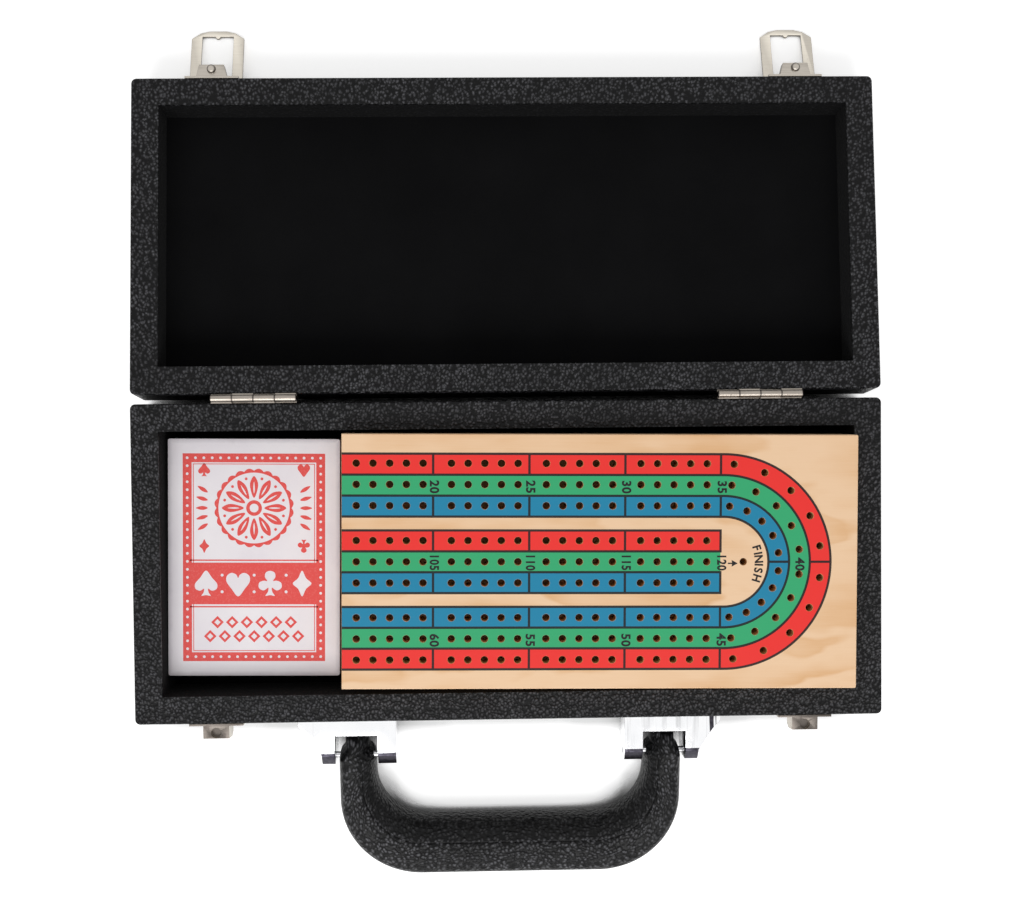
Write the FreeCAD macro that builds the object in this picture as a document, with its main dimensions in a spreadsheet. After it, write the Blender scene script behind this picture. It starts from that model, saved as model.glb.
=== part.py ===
import FreeCAD, Part
import math
import os
import re

import Sketcher
from FreeCAD import Placement, Rotation, Vector

# Carrying case for a folding cribbage board and a deck of cards, lying open on a table.
# Frame: X along the case, Y from the handle side to the lid, Z up. The origin is the middle of
# the base's underside. Lengths are in millimetres.
#
# The lid and everything on it is drawn shut, where it lines up with the base, and then turned
# open about the hinge line. The loops are drawn hanging over their catches, the handle level.

doc = FreeCAD.newDocument("cribbage_case")
sheet = doc.addObject("Spreadsheet::Sheet", "Sizes")

SIZES = {
    # the folding board: two halves hinged at one end, back to back when folded
    "board_length": 193.0,
    "board_width": 95.25,
    "board_thickness": 18.0,
    "board_corner": 0.6,
    "board_edge": 0.4,
    "fold_gap": 0.4,
    "fold_end_gap": 0.15,
    # the holes of the three tracks
    "peg_hole_radius": 1.4,
    "peg_hole_depth": 10.0,
    "hole_pitch": 6.2,
    "group_pitch": 35.33,
    "row_pitch": 7.9,
    "track_spacing": 28.8,
    "first_hole": 5.46,
    "bend_centre": 142.6,
    "bend_hole_turn": 18.7,
    "finish_hole": 150.0,
    # the pegs and the well that keeps them
    "peg_tip_radius": 0.8,
    "peg_neck_radius": 1.25,
    "peg_head_radius": 1.7,
    "peg_point": 14.0,
    "peg_head": 13.0,
    "peg_pitch": 3.8,
    "peg_clearance": 0.3,
    "well_depth": 6.0,
    "well_start": 118.0,
    # the board's two butt hinges
    "fold_leaf_length": 10.0,
    "fold_leaf_thickness": 0.8,
    "fold_knuckle": 6.0,
    "fold_knuckle_radius": 1.2,
    "fold_pin_radius": 0.6,
    "fold_inset": 24.0,
    "fold_screw_along": 5.6,
    "fold_screw_apart": 10.0,
    "fold_screw_radius": 0.7,
    "fold_screw_head": 1.4,
    "fold_head_depth": 0.4,
    "fold_screw_depth": 6.0,
    # the card box and its deck
    "card_box_width": 65.5,
    "card_box_length": 91.0,
    "card_box_height": 16.2,
    "carton": 0.4,
    "deck_play": 0.6,
    "deck_corner": 3.2,
    "card_box_corner": 0.8,
    # how the board and the card box lie in the case
    "length_play": 4.1,
    "width_play": 4.75,
    "board_end_clearance": 0.45,
    "card_end_clearance": 0.3,
    "card_offset": 1.7,
    "board_turn": 0.7,
    "card_turn": 0.78,
    # the case's walls, from outside in, and its depths
    "leather": 0.9,
    "panel": 8.8,
    "lining": 0.7,
    "floor_panel": 4.4,
    "lid_panel": 2.4,
    "base_inner_depth": 28.0,
    "lid_inner_depth": 17.3,
    "corner_radius": 2.0,
    "edge_radius": 0.7,
    "shut_gap": 0.4,
    # fasteners driven into the panels
    "hole_clearance": 0.05,
    "bore_clearance": 0.05,
    "rivet_radius": 0.7,
    "rivet_head_radius": 1.3,
    "rivet_head": 0.25,
    "rivet_length": 5.0,
    # the case's two butt hinges
    "hinge_apart": 191.0,
    "hinge_offset": 1.83,
    "knuckle_length": 8.0,
    "knuckle_radius": 1.4,
    "hinge_pin_radius": 0.7,
    "leaf_thickness": 0.8,
    "leaf_drop": 13.0,
    "hinge_rivet_drop": 8.5,
    "hinge_rivet_pitch": 11.0,
    "swing_gap": 0.3,
    "joint_gap": 0.12,
    # the two loop latches
    "latch_apart": 223.4,
    "latch_shift": 0.4,
    "latch_plate": 0.8,
    "loop_width": 20.4,
    "loop_window": 12.1,
    "loop_thickness": 1.0,
    "loop_out": 2.1,
    "loop_up": 12.0,
    "loop_reach": 22.8,
    "loop_window_reach": 20.4,
    "loop_shoulder": 3.4,
    "loop_arch": 0.9,
    "loop_barrel_radius": 1.2,
    "loop_pin_radius": 0.6,
    "loop_nub": 1.0,
    "nub_play": 0.6,
    "block_gap": 0.15,
    "block_width": 11.6,
    "block_nose": 9.4,
    "block_out": 5.2,
    "block_height": 4.0,
    "stud_radius": 1.7,
    "stud_height": 1.5,
    "stud_out": 3.4,
    "stud_play": 0.25,
    "catch_width": 9.8,
    "catch_foot_width": 11.2,
    "catch_out": 5.6,
    "catch_chamfer": 1.5,
    "catch_plate_drop": 11.0,
    "latch_rivet_apart": 15.4,
    "latch_rivet_height": 6.0,
    "catch_rivet_drop": 4.5,
    # the handle and its two brackets
    "handle_centres": 118.3,
    "pin_out": 16.0,
    "handle_pin_radius": 1.2,
    "bracket_height": 20.0,
    "bracket_slot": 16.5,
    "bracket_floor": 6.8,
    "inner_arm": 7.0,
    "outer_arm": 5.0,
    "outer_foot": 8.2,
    "foot_out": 9.3,
    "arm_shoulder": 14.3,
    "arm_out": 18.3,
    "arm_chamfer": 3.6,
    "wing_height": 11.0,
    "wing_reach": 6.1,
    "wing_waist": 3.0,
    "wing_edge": 3.6,
    "wing_waist_out": 7.0,
    "wing_arm_out": 15.6,
    "screw_radius": 1.3,
    "screw_head_radius": 2.3,
    "screw_head": 1.6,
    "screw_seat": 2.2,
    "screw_depth": 6.0,
    "leg_width": 14.3,
    "leg_end_radius": 8.0,
    "handle_reach": 48.9,
    "grip_width": 22.6,
    "grip_thickness": 16.6,
    "grip_round": 5.5,
    "outer_bend": 31.5,
    "inner_bend": 20.0,
    "core_width": 6.0,
    "core_thickness": 4.0,
    "core_bend": 16.0,
}

# The holes stand in groups of five, and each bend and half of the board has its own number.
GROUP_HOLES = 5
UPPER_GROUPS, LOWER_GROUPS = 4, 3
UPPER_BEND_HOLES, LOWER_BEND_HOLES = 10, 5
PEG_COLOURS = ("red", "green", "blue")
PEGS_EACH = 3

FORMULAS = {
    "inner_length": "board_length + card_box_width + length_play",
    "inner_width": "max(board_width; card_box_length) + width_play",
    "wall": "leather + panel + lining",
    "half_length": "inner_length / 2 + wall",
    "half_width": "inner_width / 2 + wall",
    "floor": "leather + floor_panel + lining",
    "rim": "floor + base_inner_depth",
    "lid_rim": "rim + shut_gap",
    "lid_ceiling": "lid_rim + lid_inner_depth",
    "lid_top": "lid_ceiling + lining + lid_panel + leather",
    "hinge_line": "half_width + hinge_offset",
    "hinge_height": "rim + shut_gap / 2",
    "hinge_half": "2 * knuckle_length",
    "loop_line": "half_width + loop_out",
    "loop_height": "lid_rim + loop_up",
    "catch_top": "rim - block_gap",
    "catch_low": "loop_height - loop_window_reach + loop_nub + nub_play",
    "pin_line": "half_width + pin_out",
    "pin_height": "rim / 2",
    "leg_centre": "handle_centres / 2",
    "fold_height": "board_thickness + fold_gap / 2",
    "upper_back": "board_thickness + fold_gap",
    "upper_face": "2 * board_thickness + fold_gap",
    "fold_half": "1.5 * fold_knuckle",
    "middle_row": "board_width / 2",
    "mirror_hole": f"group_pitch - {GROUP_HOLES - 1} * hole_pitch - first_hole - 2 * fold_end_gap",
    "small_bend": f"{LOWER_GROUPS} * group_pitch + mirror_hole - hole_pitch / 2",
    "peg_count": f"{PEGS_EACH * len(PEG_COLOURS)}",
    "peg_length": "peg_point + peg_head",
}

for row, (name, content) in enumerate({**SIZES, **FORMULAS}.items(), start=1):
    sheet.set(f"A{row}", f"={content}" if name in FORMULAS else str(content))
    sheet.setAlias(f"A{row}", name)
doc.recompute()


def number(formula):
    """The value of a formula of the sheet."""
    return float(sheet.evalExpression(str(formula)))


def linked(formula):
    """The formula as another object writes it, with the sheet's name before each size."""
    names = r"[a-z]+(?:_[a-z]+)*"
    return re.sub(names, lambda m: f"Sizes.{m[0]}" if m[0] in SIZES or m[0] in FORMULAS else m[0],
                  str(formula))


# ---------------------------------------------------------------- drawing and cutting

PLANES = {"XY": "XY_Plane", "XZ": "XZ_Plane", "YZ": "YZ_Plane"}
parts = {}


def body(name):
    """A new sub-part."""
    made = doc.addObject("PartDesign::Body", name)
    made.Label = name
    parts[name] = made
    return made


def sketch_on(part, plane, level, centre=("0", "0")):
    """An empty sketch on one of the part's own planes, moved along its normal to a level."""
    sketch = part.newObject("Sketcher::SketchObject", f"{part.Name}_sketch")
    planes = [f for f in part.Origin.OriginFeatures if f.Role == PLANES[plane]]
    sketch.AttachmentSupport = (planes[0], [""])
    sketch.MapMode = "FlatFace"
    sketch.setExpression("AttachmentOffset.Base.x", linked(centre[0]))
    sketch.setExpression("AttachmentOffset.Base.y", linked(centre[1]))
    sketch.setExpression("AttachmentOffset.Base.z", linked(level))
    return sketch


def pin_point(sketch, geometry, point, x, y):
    """Ties a point of the sketch to two formulas."""
    for kind, formula in (("DistanceX", x), ("DistanceY", y)):
        row = sketch.addConstraint(
            Sketcher.Constraint(kind, -1, 1, geometry, point, number(formula)))
        sketch.setExpression(f"Constraints[{row}]", linked(formula))


def draw_polygon(sketch, corners):
    """A closed outline whose corners are pairs of formulas."""
    first = sketch.GeometryCount
    points = [Vector(number(x), number(y), 0) for x, y in corners]
    count = len(points)
    for i, point in enumerate(points):
        sketch.addGeometry(Part.LineSegment(point, points[(i + 1) % count]))
    for i, (x, y) in enumerate(corners):
        sketch.addConstraint(
            Sketcher.Constraint("Coincident", first + i, 2, first + (i + 1) % count, 1))
        pin_point(sketch, first + i, 1, x, y)


def draw_circles(sketch, centres, radius):
    """Circles of one radius; the first one's radius is set and the others equal it."""
    first = sketch.GeometryCount
    size = number(radius)
    for i, (x, y) in enumerate(centres):
        at = Vector(number(x), number(y), 0)
        sketch.addGeometry(Part.Circle(at, Vector(0, 0, 1), size))
        pin_point(sketch, first + i, 3, x, y)
        if i:
            sketch.addConstraint(Sketcher.Constraint("Equal", first, first + i))
    row = sketch.addConstraint(Sketcher.Constraint("Radius", first, size))
    sketch.setExpression(f"Constraints[{row}]", linked(radius))


def feature(part, kind, sketch, depth):
    """A pad or pocket of the sketch."""
    made = part.newObject(f"PartDesign::{kind}", f"{part.Name}_{kind.lower()}")
    made.Profile = sketch
    made.setExpression("Length", linked(depth))
    return made


def pad(part, plane, low, high, corners=None, circles=None, radius=None):
    """Material between two levels along the plane's axis."""
    # the XZ plane's normal points to -Y, so its sketch starts at the far level
    level = f"-({high})" if plane == "XZ" else low
    sketch = sketch_on(part, plane, level)
    if corners:
        draw_polygon(sketch, corners)
    if circles:
        draw_circles(sketch, circles, radius)
    return feature(part, "Pad", sketch, f"{high} - ({low})")


def pocket(part, plane, low, high, corners=None, circles=None, radius=None, centre=("0", "0")):
    """Takes away what lies between two levels along the plane's axis."""
    level = f"-({low})" if plane == "XZ" else high
    sketch = sketch_on(part, plane, level, centre)
    if corners:
        draw_polygon(sketch, corners)
    if circles:
        draw_circles(sketch, circles, radius)
    doc.recompute()
    before = part.Shape.Volume
    cut = feature(part, "Pocket", sketch, f"{high} - ({low})")
    doc.recompute()
    if part.Shape.Volume >= before:
        raise RuntimeError(f"a pocket in {part.Label} removes nothing")
    return cut


def rectangle(x0, x1, y0, y1):
    return [(x0, y0), (x1, y0), (x1, y1), (x0, y1)]


def centred(half_x, half_y):
    return rectangle(f"-({half_x})", half_x, f"-({half_y})", half_y)


def round_edges(part, radius, wanted, kind="Fillet"):
    """Rounds or chamfers the edges of the part that a test picks by their ends."""
    doc.recompute()
    names = []
    for i, edge in enumerate(part.Shape.Edges, start=1):
        ends = [vertex.Point for vertex in edge.Vertexes]
        if len(ends) == 2 and wanted(*ends):
            names.append(f"Edge{i}")
    if not names:
        raise RuntimeError(f"no edge of {part.Label} to round")
    base = part.Tip
    made = part.newObject(f"PartDesign::{kind}", f"{part.Name}_{kind.lower()}")
    made.Base = (base, names)
    made.setExpression("Radius" if kind == "Fillet" else "Size", linked(radius))
    part.Tip = made
    doc.recompute()
    return made


def near(value, formula):
    return abs(value - number(formula)) < 1e-4


def upright(a, b):
    """True for an edge along Z."""
    return abs(a.x - b.x) < 1e-4 and abs(a.y - b.y) < 1e-4


def at_level(formula):
    """A test for edges that lie at one height."""
    return lambda a, b: near(a.z, formula) and near(b.z, formula)


def slab(name, x0, x1, y0, y1, low, high):
    """A plain board."""
    made = body(name)
    pad(made, "XY", low, high, rectangle(x0, x1, y0, y1))
    return made


def place(name, placement):
    parts[name].Placement = placement


def turned(axis, degrees, centre):
    return Placement(Vector(), Rotation(axis, degrees), centre)


X_AXIS = Vector(1, 0, 0)
Z_AXIS = Vector(0, 0, 1)


def rest_angle(reach, drop, height):
    """How far an arm droops below level until its end meets the table.

    The end is `reach` out from the pivot and `drop` below it; the pivot is at `height`.
    """
    return math.degrees(math.asin(height / math.hypot(reach, drop)) - math.atan2(drop, reach))


# The lid comes to rest on its far lower edge, past flat by its droop.
lid_droop = rest_angle(
    number("hinge_line + half_width - edge_radius"),
    number("lid_top - hinge_height - edge_radius"),
    number("hinge_height - edge_radius"))
lid_open = turned(X_AXIS, -(180 + lid_droop), Vector(0, number("hinge_line"), number("hinge_height")))

# Each loop hangs from its pin on the open lid until its tip meets the table.
loop_axis = Vector(0, -number("loop_line"), number("loop_height"))
loop_droop = rest_angle(
    number("loop_reach"), number("loop_thickness / 2"), lid_open.multVec(loop_axis).z)
loop_swing = 90 - lid_droop + loop_droop
loop_rest = lid_open * turned(X_AXIS, -loop_swing, loop_axis)

# The handle lies on the rounded lower edge of its grip.
handle_droop = rest_angle(
    number("handle_reach - grip_round"),
    number("grip_thickness / 2 - grip_round"),
    number("pin_height - grip_round"))
handle_rest = turned(X_AXIS, handle_droop, Vector(0, -number("pin_line"), number("pin_height")))

# The board is pushed to the right wall and the card box to the left one; both lie a little askew.
board_turn = math.radians(number("board_turn"))
board_corner_x = (number("inner_length / 2 - board_end_clearance")
                  - number("board_length") * math.cos(board_turn)
                  - number("board_width") * math.sin(board_turn))
board_corner_y = (number("board_length") * math.sin(board_turn)
                  - number("board_width") * math.cos(board_turn)) / 2
board_rest = Placement(
    Vector(board_corner_x, board_corner_y, number("floor")),
    Rotation(Z_AXIS, -number("board_turn")))
card_rest = Placement(
    Vector(number("card_end_clearance - inner_length / 2"),
           number("card_offset - card_box_length / 2"), number("floor")),
    Rotation(Z_AXIS, -number("card_turn")))


# ---------------------------------------------------------------- fasteners

HEADINGS = {
    "+Y": Rotation(X_AXIS, -90),
    "-Y": Rotation(X_AXIS, 90),
    "+Z": Rotation(),
    "-Z": Rotation(X_AXIS, 180),
    "+X": Rotation(Vector(0, 1, 0), 90),
}


def round_bar(name, heading, start, length, radius, end_radius=None):
    """A cylinder, or a cone if it has an end radius, from a start point of three formulas."""
    kind = "Part::Cone" if end_radius else "Part::Cylinder"
    made = doc.addObject(kind, name)
    made.Placement = Placement(Vector(), HEADINGS[heading])
    for axis, formula in zip("xyz", start):
        made.setExpression(f"Placement.Base.{axis}", linked(formula))
    made.setExpression("Height", linked(length))
    if end_radius:
        made.setExpression("Radius1", linked(radius))
        made.setExpression("Radius2", linked(end_radius))
    else:
        made.setExpression("Radius", linked(radius))
    return made


def joined(name, pieces):
    """One node of round bars: those that touch become one solid."""
    made = doc.addObject("Part::MultiFuse", name)
    made.Label = name
    made.Shapes = pieces
    made.Refine = True
    parts[name] = made
    return made


def fasteners(name, sites, heading, head, head_radius, shank, shank_radius):
    """Headed fasteners driven along a heading; a site is the point under the head."""
    backwards = {"+Y": "-Y", "-Y": "+Y", "+Z": "-Z", "-Z": "+Z"}[heading]
    pieces = []
    for site in sites:
        pieces.append(round_bar(f"{name}_head", backwards, site, head, head_radius))
        pieces.append(round_bar(f"{name}_shank", heading, site, shank, shank_radius))
    return joined(name, pieces)


hinge_centres = {"left": "-hinge_apart / 2", "right": "hinge_apart / 2"}
latch_centres = {"left": "latch_shift - latch_apart / 2", "right": "latch_shift + latch_apart / 2"}
hinge_rivets_across = [
    f"{centre} + {step} * hinge_rivet_pitch"
    for centre in hinge_centres.values() for step in (-1, 0, 1)]
latch_rivets_across = [
    f"{centre} + {side} * latch_rivet_apart / 2"
    for centre in latch_centres.values() for side in (-1, 1)]
bracket_screws_across = [
    f"{side} * ({place_out})"
    for side in (-1, 1)
    for place_out in ("leg_centre",
                      "leg_centre + bracket_slot / 2 + outer_foot + wing_reach / 2")]

base_rivet_height = "hinge_height - hinge_rivet_drop"
lid_rivet_height = "hinge_height + hinge_rivet_drop"
plate_rivet_height = "lid_rim + latch_rivet_height"
catch_rivet_height = "rim - catch_rivet_drop"


def drill_front(part, low, high, across, height, radius):
    """Holes along Y for a row of fasteners."""
    pocket(part, "XZ", low, high, circles=[(x, height) for x in across],
           radius=f"{radius} + hole_clearance")


# ---------------------------------------------------------------- the case's two halves

def case_half(prefix, low, high, rim_face, far_panel, lining_far):
    """Four walls, a floor or ceiling, a lining and a leatherette cover.

    `low` and `high` bound the half without its cover sheet; `rim_face` is the level of its rim.
    """
    rim_up = rim_face == high
    inner_low = low if rim_up else f"{low} + leather"
    inner_high = f"{high} - leather" if rim_up else high
    shell_x = "half_length - leather"
    shell_y = "half_width - leather"
    for name, side in (("front", -1), ("rear", 1)):
        edges = sorted((f"{side} * ({shell_y})", f"{side} * ({shell_y} - panel)"), key=number)
        slab(f"{prefix}_{name}_panel", f"-({shell_x})", shell_x, *edges, inner_low, inner_high)
    for name, side in (("left", -1), ("right", 1)):
        edges = sorted((f"{side} * ({shell_x})", f"{side} * ({shell_x} - panel)"), key=number)
        slab(f"{prefix}_{name}_panel", *edges, f"-({shell_y} - panel)", f"{shell_y} - panel",
             inner_low, inner_high)
    far_low, far_high = (low, far_panel) if rim_up else (far_panel, high)
    slab(f"{prefix}_{'floor' if rim_up else 'top'}_panel", f"-({shell_x} - panel)",
         f"{shell_x} - panel", f"-({shell_y} - panel)", f"{shell_y} - panel", far_low, far_high)

    lining = body(f"{prefix}_lining")
    tray_low, tray_high = (far_panel, inner_high) if rim_up else (inner_low, far_panel)
    pad(lining, "XY", tray_low, tray_high,
        centred("inner_length / 2 + lining", "inner_width / 2 + lining"))
    hollow_low, hollow_high = (lining_far, inner_high) if rim_up else (inner_low, lining_far)
    pocket(lining, "XY", hollow_low, hollow_high, centred("inner_length / 2", "inner_width / 2"))

    cover = body(f"{prefix}_side_cover")
    pad(cover, "XY", low, high, centred("half_length", "half_width"))
    round_edges(cover, "corner_radius", upright)
    round_edges(cover, "edge_radius", at_level(rim_face))
    pocket(cover, "XY", inner_low, inner_high, centred(shell_x, shell_y))
    lip_low, lip_high = (inner_high, high) if rim_up else (low, inner_low)
    pocket(cover, "XY", lip_low, lip_high, centred("inner_length / 2", "inner_width / 2"))

    sheet_name = f"{prefix}_{'underside' if rim_up else 'top'}_cover"
    end_low, end_high = ("0", low) if rim_up else (high, "lid_top")
    end_sheet = body(sheet_name)
    pad(end_sheet, "XY", end_low, end_high, centred("half_length", "half_width"))
    round_edges(end_sheet, "corner_radius", upright)
    round_edges(end_sheet, "edge_radius", at_level(end_low if rim_up else end_high))


case_half("base", "leather", "rim", "rim", "leather + floor_panel", "floor")
case_half("lid", "lid_rim", "lid_top - leather", "lid_rim",
          "lid_ceiling + lining", "lid_ceiling")

wall_outer, wall_inner = "half_width", "half_width - leather"
rivet_end = "half_width + leaf_thickness - rivet_length - hole_clearance"
plate_rivet_end = "half_width + latch_plate - rivet_length - hole_clearance"
screw_end = "half_width + screw_seat - screw_depth - hole_clearance"

for prefix, rivet_height in (("base", base_rivet_height), ("lid", lid_rivet_height)):
    cover = parts[f"{prefix}_side_cover"]
    drill_front(cover, wall_inner, wall_outer, hinge_rivets_across, rivet_height, "rivet_radius")
    drill_front(parts[f"{prefix}_rear_panel"], rivet_end, wall_inner,
                hinge_rivets_across, rivet_height, "rivet_radius")

for prefix, rivet_height in (("base", catch_rivet_height), ("lid", plate_rivet_height)):
    cover = parts[f"{prefix}_side_cover"]
    drill_front(cover, f"-({wall_outer})", f"-({wall_inner})",
                latch_rivets_across, rivet_height, "rivet_radius")
    drill_front(parts[f"{prefix}_front_panel"], f"-({wall_inner})", f"-({plate_rivet_end})",
                latch_rivets_across, rivet_height, "rivet_radius")

drill_front(parts["base_side_cover"], f"-({wall_outer})", f"-({wall_inner})",
            bracket_screws_across, "pin_height", "screw_radius")
drill_front(parts["base_front_panel"], f"-({wall_inner})", f"-({screw_end})",
            bracket_screws_across, "pin_height", "screw_radius")


# ---------------------------------------------------------------- the case's butt hinges

def butt_hinge_leaf(name, centre, knuckles, low, high, web_low, web_high, rivet_height):
    """A pressed leaf riveted to the rear wall, rolled into two of the hinge's four knuckles."""
    leaf = body(name)
    face = rectangle("half_width", "half_width + leaf_thickness", low, high)
    pad(leaf, "YZ", f"{centre} - hinge_half", f"{centre} + hinge_half", face)
    web = rectangle("half_width", "half_width + leaf_thickness", web_low, web_high)
    for index in knuckles:
        start = f"{centre} + {index - 2} * knuckle_length + joint_gap / 2"
        end = f"{centre} + {index - 1} * knuckle_length - joint_gap / 2"
        pad(leaf, "YZ", start, end, web)
        pad(leaf, "YZ", start, end, circles=[("hinge_line", "hinge_height")],
            radius="knuckle_radius")
    pocket(leaf, "YZ", f"{centre} - hinge_half", f"{centre} + hinge_half",
           circles=[("hinge_line", "hinge_height")], radius="hinge_pin_radius + bore_clearance")
    rivets = [f"{centre} + {step} * hinge_rivet_pitch" for step in (-1, 0, 1)]
    drill_front(leaf, "half_width", "half_width + leaf_thickness", rivets, rivet_height,
                "rivet_radius")


for side, centre in hinge_centres.items():
    butt_hinge_leaf(f"{side}_hinge_base_leaf", centre, (0, 2),
                    "hinge_height - leaf_drop", "hinge_height - knuckle_radius - swing_gap",
                    "hinge_height - knuckle_radius - swing_gap", "hinge_height",
                    base_rivet_height)
    butt_hinge_leaf(f"{side}_hinge_lid_leaf", centre, (1, 3),
                    "hinge_height + knuckle_radius + swing_gap", "hinge_height + leaf_drop",
                    "hinge_height", "hinge_height + knuckle_radius + swing_gap",
                    lid_rivet_height)
    pad(body(f"{side}_hinge_pin"), "YZ", f"{centre} - hinge_half", f"{centre} + hinge_half",
        circles=[("hinge_line", "hinge_height")], radius="hinge_pin_radius")

leaf_face = "half_width + leaf_thickness"
fasteners("base_hinge_rivets", [(x, leaf_face, base_rivet_height) for x in hinge_rivets_across],
          "-Y", "rivet_head", "rivet_head_radius", "rivet_length", "rivet_radius")
fasteners("lid_hinge_rivets", [(x, leaf_face, lid_rivet_height) for x in hinge_rivets_across],
          "-Y", "rivet_head", "rivet_head_radius", "rivet_length", "rivet_radius")


# ---------------------------------------------------------------- the loop latches

def latch_plate(name, centre):
    """The lid's plate, with a barrel for the loop's pin and a block with a locating stud."""
    plate = body(name)
    low = "lid_rim + block_gap"
    face_out = "-(half_width + latch_plate)"
    pad(plate, "XZ", face_out, "-half_width",
        rectangle(f"{centre} - loop_width / 2", f"{centre} + loop_width / 2",
                  low, "loop_height - loop_barrel_radius - swing_gap"))
    barrel = ("loop_window / 2 - joint_gap", "loop_barrel_radius")
    start, end = f"{centre} - ({barrel[0]})", f"{centre} + {barrel[0]}"
    pad(plate, "YZ", start, end,
        rectangle(face_out, "-half_width",
                  "loop_height - loop_barrel_radius - swing_gap",
                  "loop_height + loop_barrel_radius"))
    pad(plate, "YZ", start, end,
        rectangle("-loop_line", face_out, "loop_height", "loop_height + loop_barrel_radius"))
    pad(plate, "YZ", start, end, circles=[("-loop_line", "loop_height")], radius=barrel[1])
    pad(plate, "XY", low, f"{low} + block_height", [
        (f"{centre} - block_width / 2", face_out),
        (f"{centre} + block_width / 2", face_out),
        (f"{centre} + block_nose / 2", "-(half_width + block_out)"),
        (f"{centre} - block_nose / 2", "-(half_width + block_out)")])
    pad(plate, "XY", f"{low} - stud_height", low,
        circles=[(centre, "-(half_width + stud_out)")], radius="stud_radius")
    pocket(plate, "YZ", start, end, circles=[("-loop_line", "loop_height")],
           radius="loop_pin_radius + bore_clearance")
    rivets = [f"{centre} + {side} * latch_rivet_apart / 2" for side in (-1, 1)]
    drill_front(plate, face_out, "-half_width", rivets, plate_rivet_height, "rivet_radius")


def latch_loop(name, centre):
    """The wire-like frame that swings over the two blocks and snaps under the lower one."""
    loop = body(name)
    inside, outside = "loop_window / 2", "loop_width / 2"
    bend = f"{outside} - loop_shoulder"
    sill = "loop_height - loop_window_reach"
    tip = "loop_height - loop_reach"
    left, right = f"{centre} - ", f"{centre} + "
    outline = [
        (f"{left}{outside}", "loop_height"),
        (f"{left}{outside}", f"{tip} + loop_shoulder"),
        (f"{left}({bend})", f"{tip} + loop_arch"),
        (f"{left}loop_shoulder", tip),
        (f"{right}loop_shoulder", tip),
        (f"{right}{bend}", f"{tip} + loop_arch"),
        (f"{right}{outside}", f"{tip} + loop_shoulder"),
        (f"{right}{outside}", "loop_height"),
        (f"{right}{inside}", "loop_height"),
        (f"{right}{inside}", sill),
        (f"{left}{inside}", sill),
        (f"{left}{inside}", "loop_height"),
    ]
    back, front = "-(loop_line + loop_thickness / 2)", "-(loop_line - loop_thickness / 2)"
    pad(loop, "XZ", back, front, outline)
    pad(loop, "XZ", back, front, circles=[(centre, sill)], radius="loop_nub")
    for start, end in ((f"{left}{outside}", f"{left}{inside}"),
                       (f"{right}{inside}", f"{right}{outside}")):
        pad(loop, "YZ", start, end, circles=[("-loop_line", "loop_height")],
            radius="loop_barrel_radius")
        pocket(loop, "YZ", start, end, circles=[("-loop_line", "loop_height")],
               radius="loop_pin_radius + bore_clearance")


def latch_catch(name, centre):
    """The base's plate, whose block has a hole for the stud above and a bevel below."""
    catch = body(name)
    face_out = "-(half_width + latch_plate)"
    nose = "-(half_width + catch_out)"
    pad(catch, "XZ", face_out, "-half_width",
        rectangle(f"{centre} - loop_width / 2", f"{centre} + loop_width / 2",
                  "rim - catch_plate_drop", "catch_top"))
    pad(catch, "XZ", nose, face_out, [
        (f"{centre} - catch_width / 2", "catch_top"),
        (f"{centre} + catch_width / 2", "catch_top"),
        (f"{centre} + catch_foot_width / 2", "catch_low"),
        (f"{centre} - catch_foot_width / 2", "catch_low")])
    round_edges(catch, "catch_chamfer", lambda a, b: near(a.y, nose) and near(b.y, nose)
                and at_level("catch_low")(a, b), "Chamfer")
    pocket(catch, "XY", "catch_top - stud_height - 2 * stud_play - block_gap", "catch_top",
           circles=[(centre, "-(half_width + stud_out)")], radius="stud_radius + stud_play")
    rivets = [f"{centre} + {side} * latch_rivet_apart / 2" for side in (-1, 1)]
    drill_front(catch, face_out, "-half_width", rivets, catch_rivet_height, "rivet_radius")


for side, centre in latch_centres.items():
    latch_plate(f"{side}_latch_plate", centre)
    latch_loop(f"{side}_latch_loop", centre)
    latch_catch(f"{side}_latch_catch", centre)
    pad(body(f"{side}_latch_pin"), "YZ", f"{centre} - loop_width / 2", f"{centre} + loop_width / 2",
        circles=[("-loop_line", "loop_height")], radius="loop_pin_radius")

plate_face = "-(half_width + latch_plate)"
fasteners("lid_latch_rivets", [(x, plate_face, plate_rivet_height) for x in latch_rivets_across],
          "+Y", "rivet_head", "rivet_head_radius", "rivet_length", "rivet_radius")
fasteners("base_latch_rivets", [(x, plate_face, catch_rivet_height) for x in latch_rivets_across],
          "+Y", "rivet_head", "rivet_head_radius", "rivet_length", "rivet_radius")


# ---------------------------------------------------------------- the handle and its brackets

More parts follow.
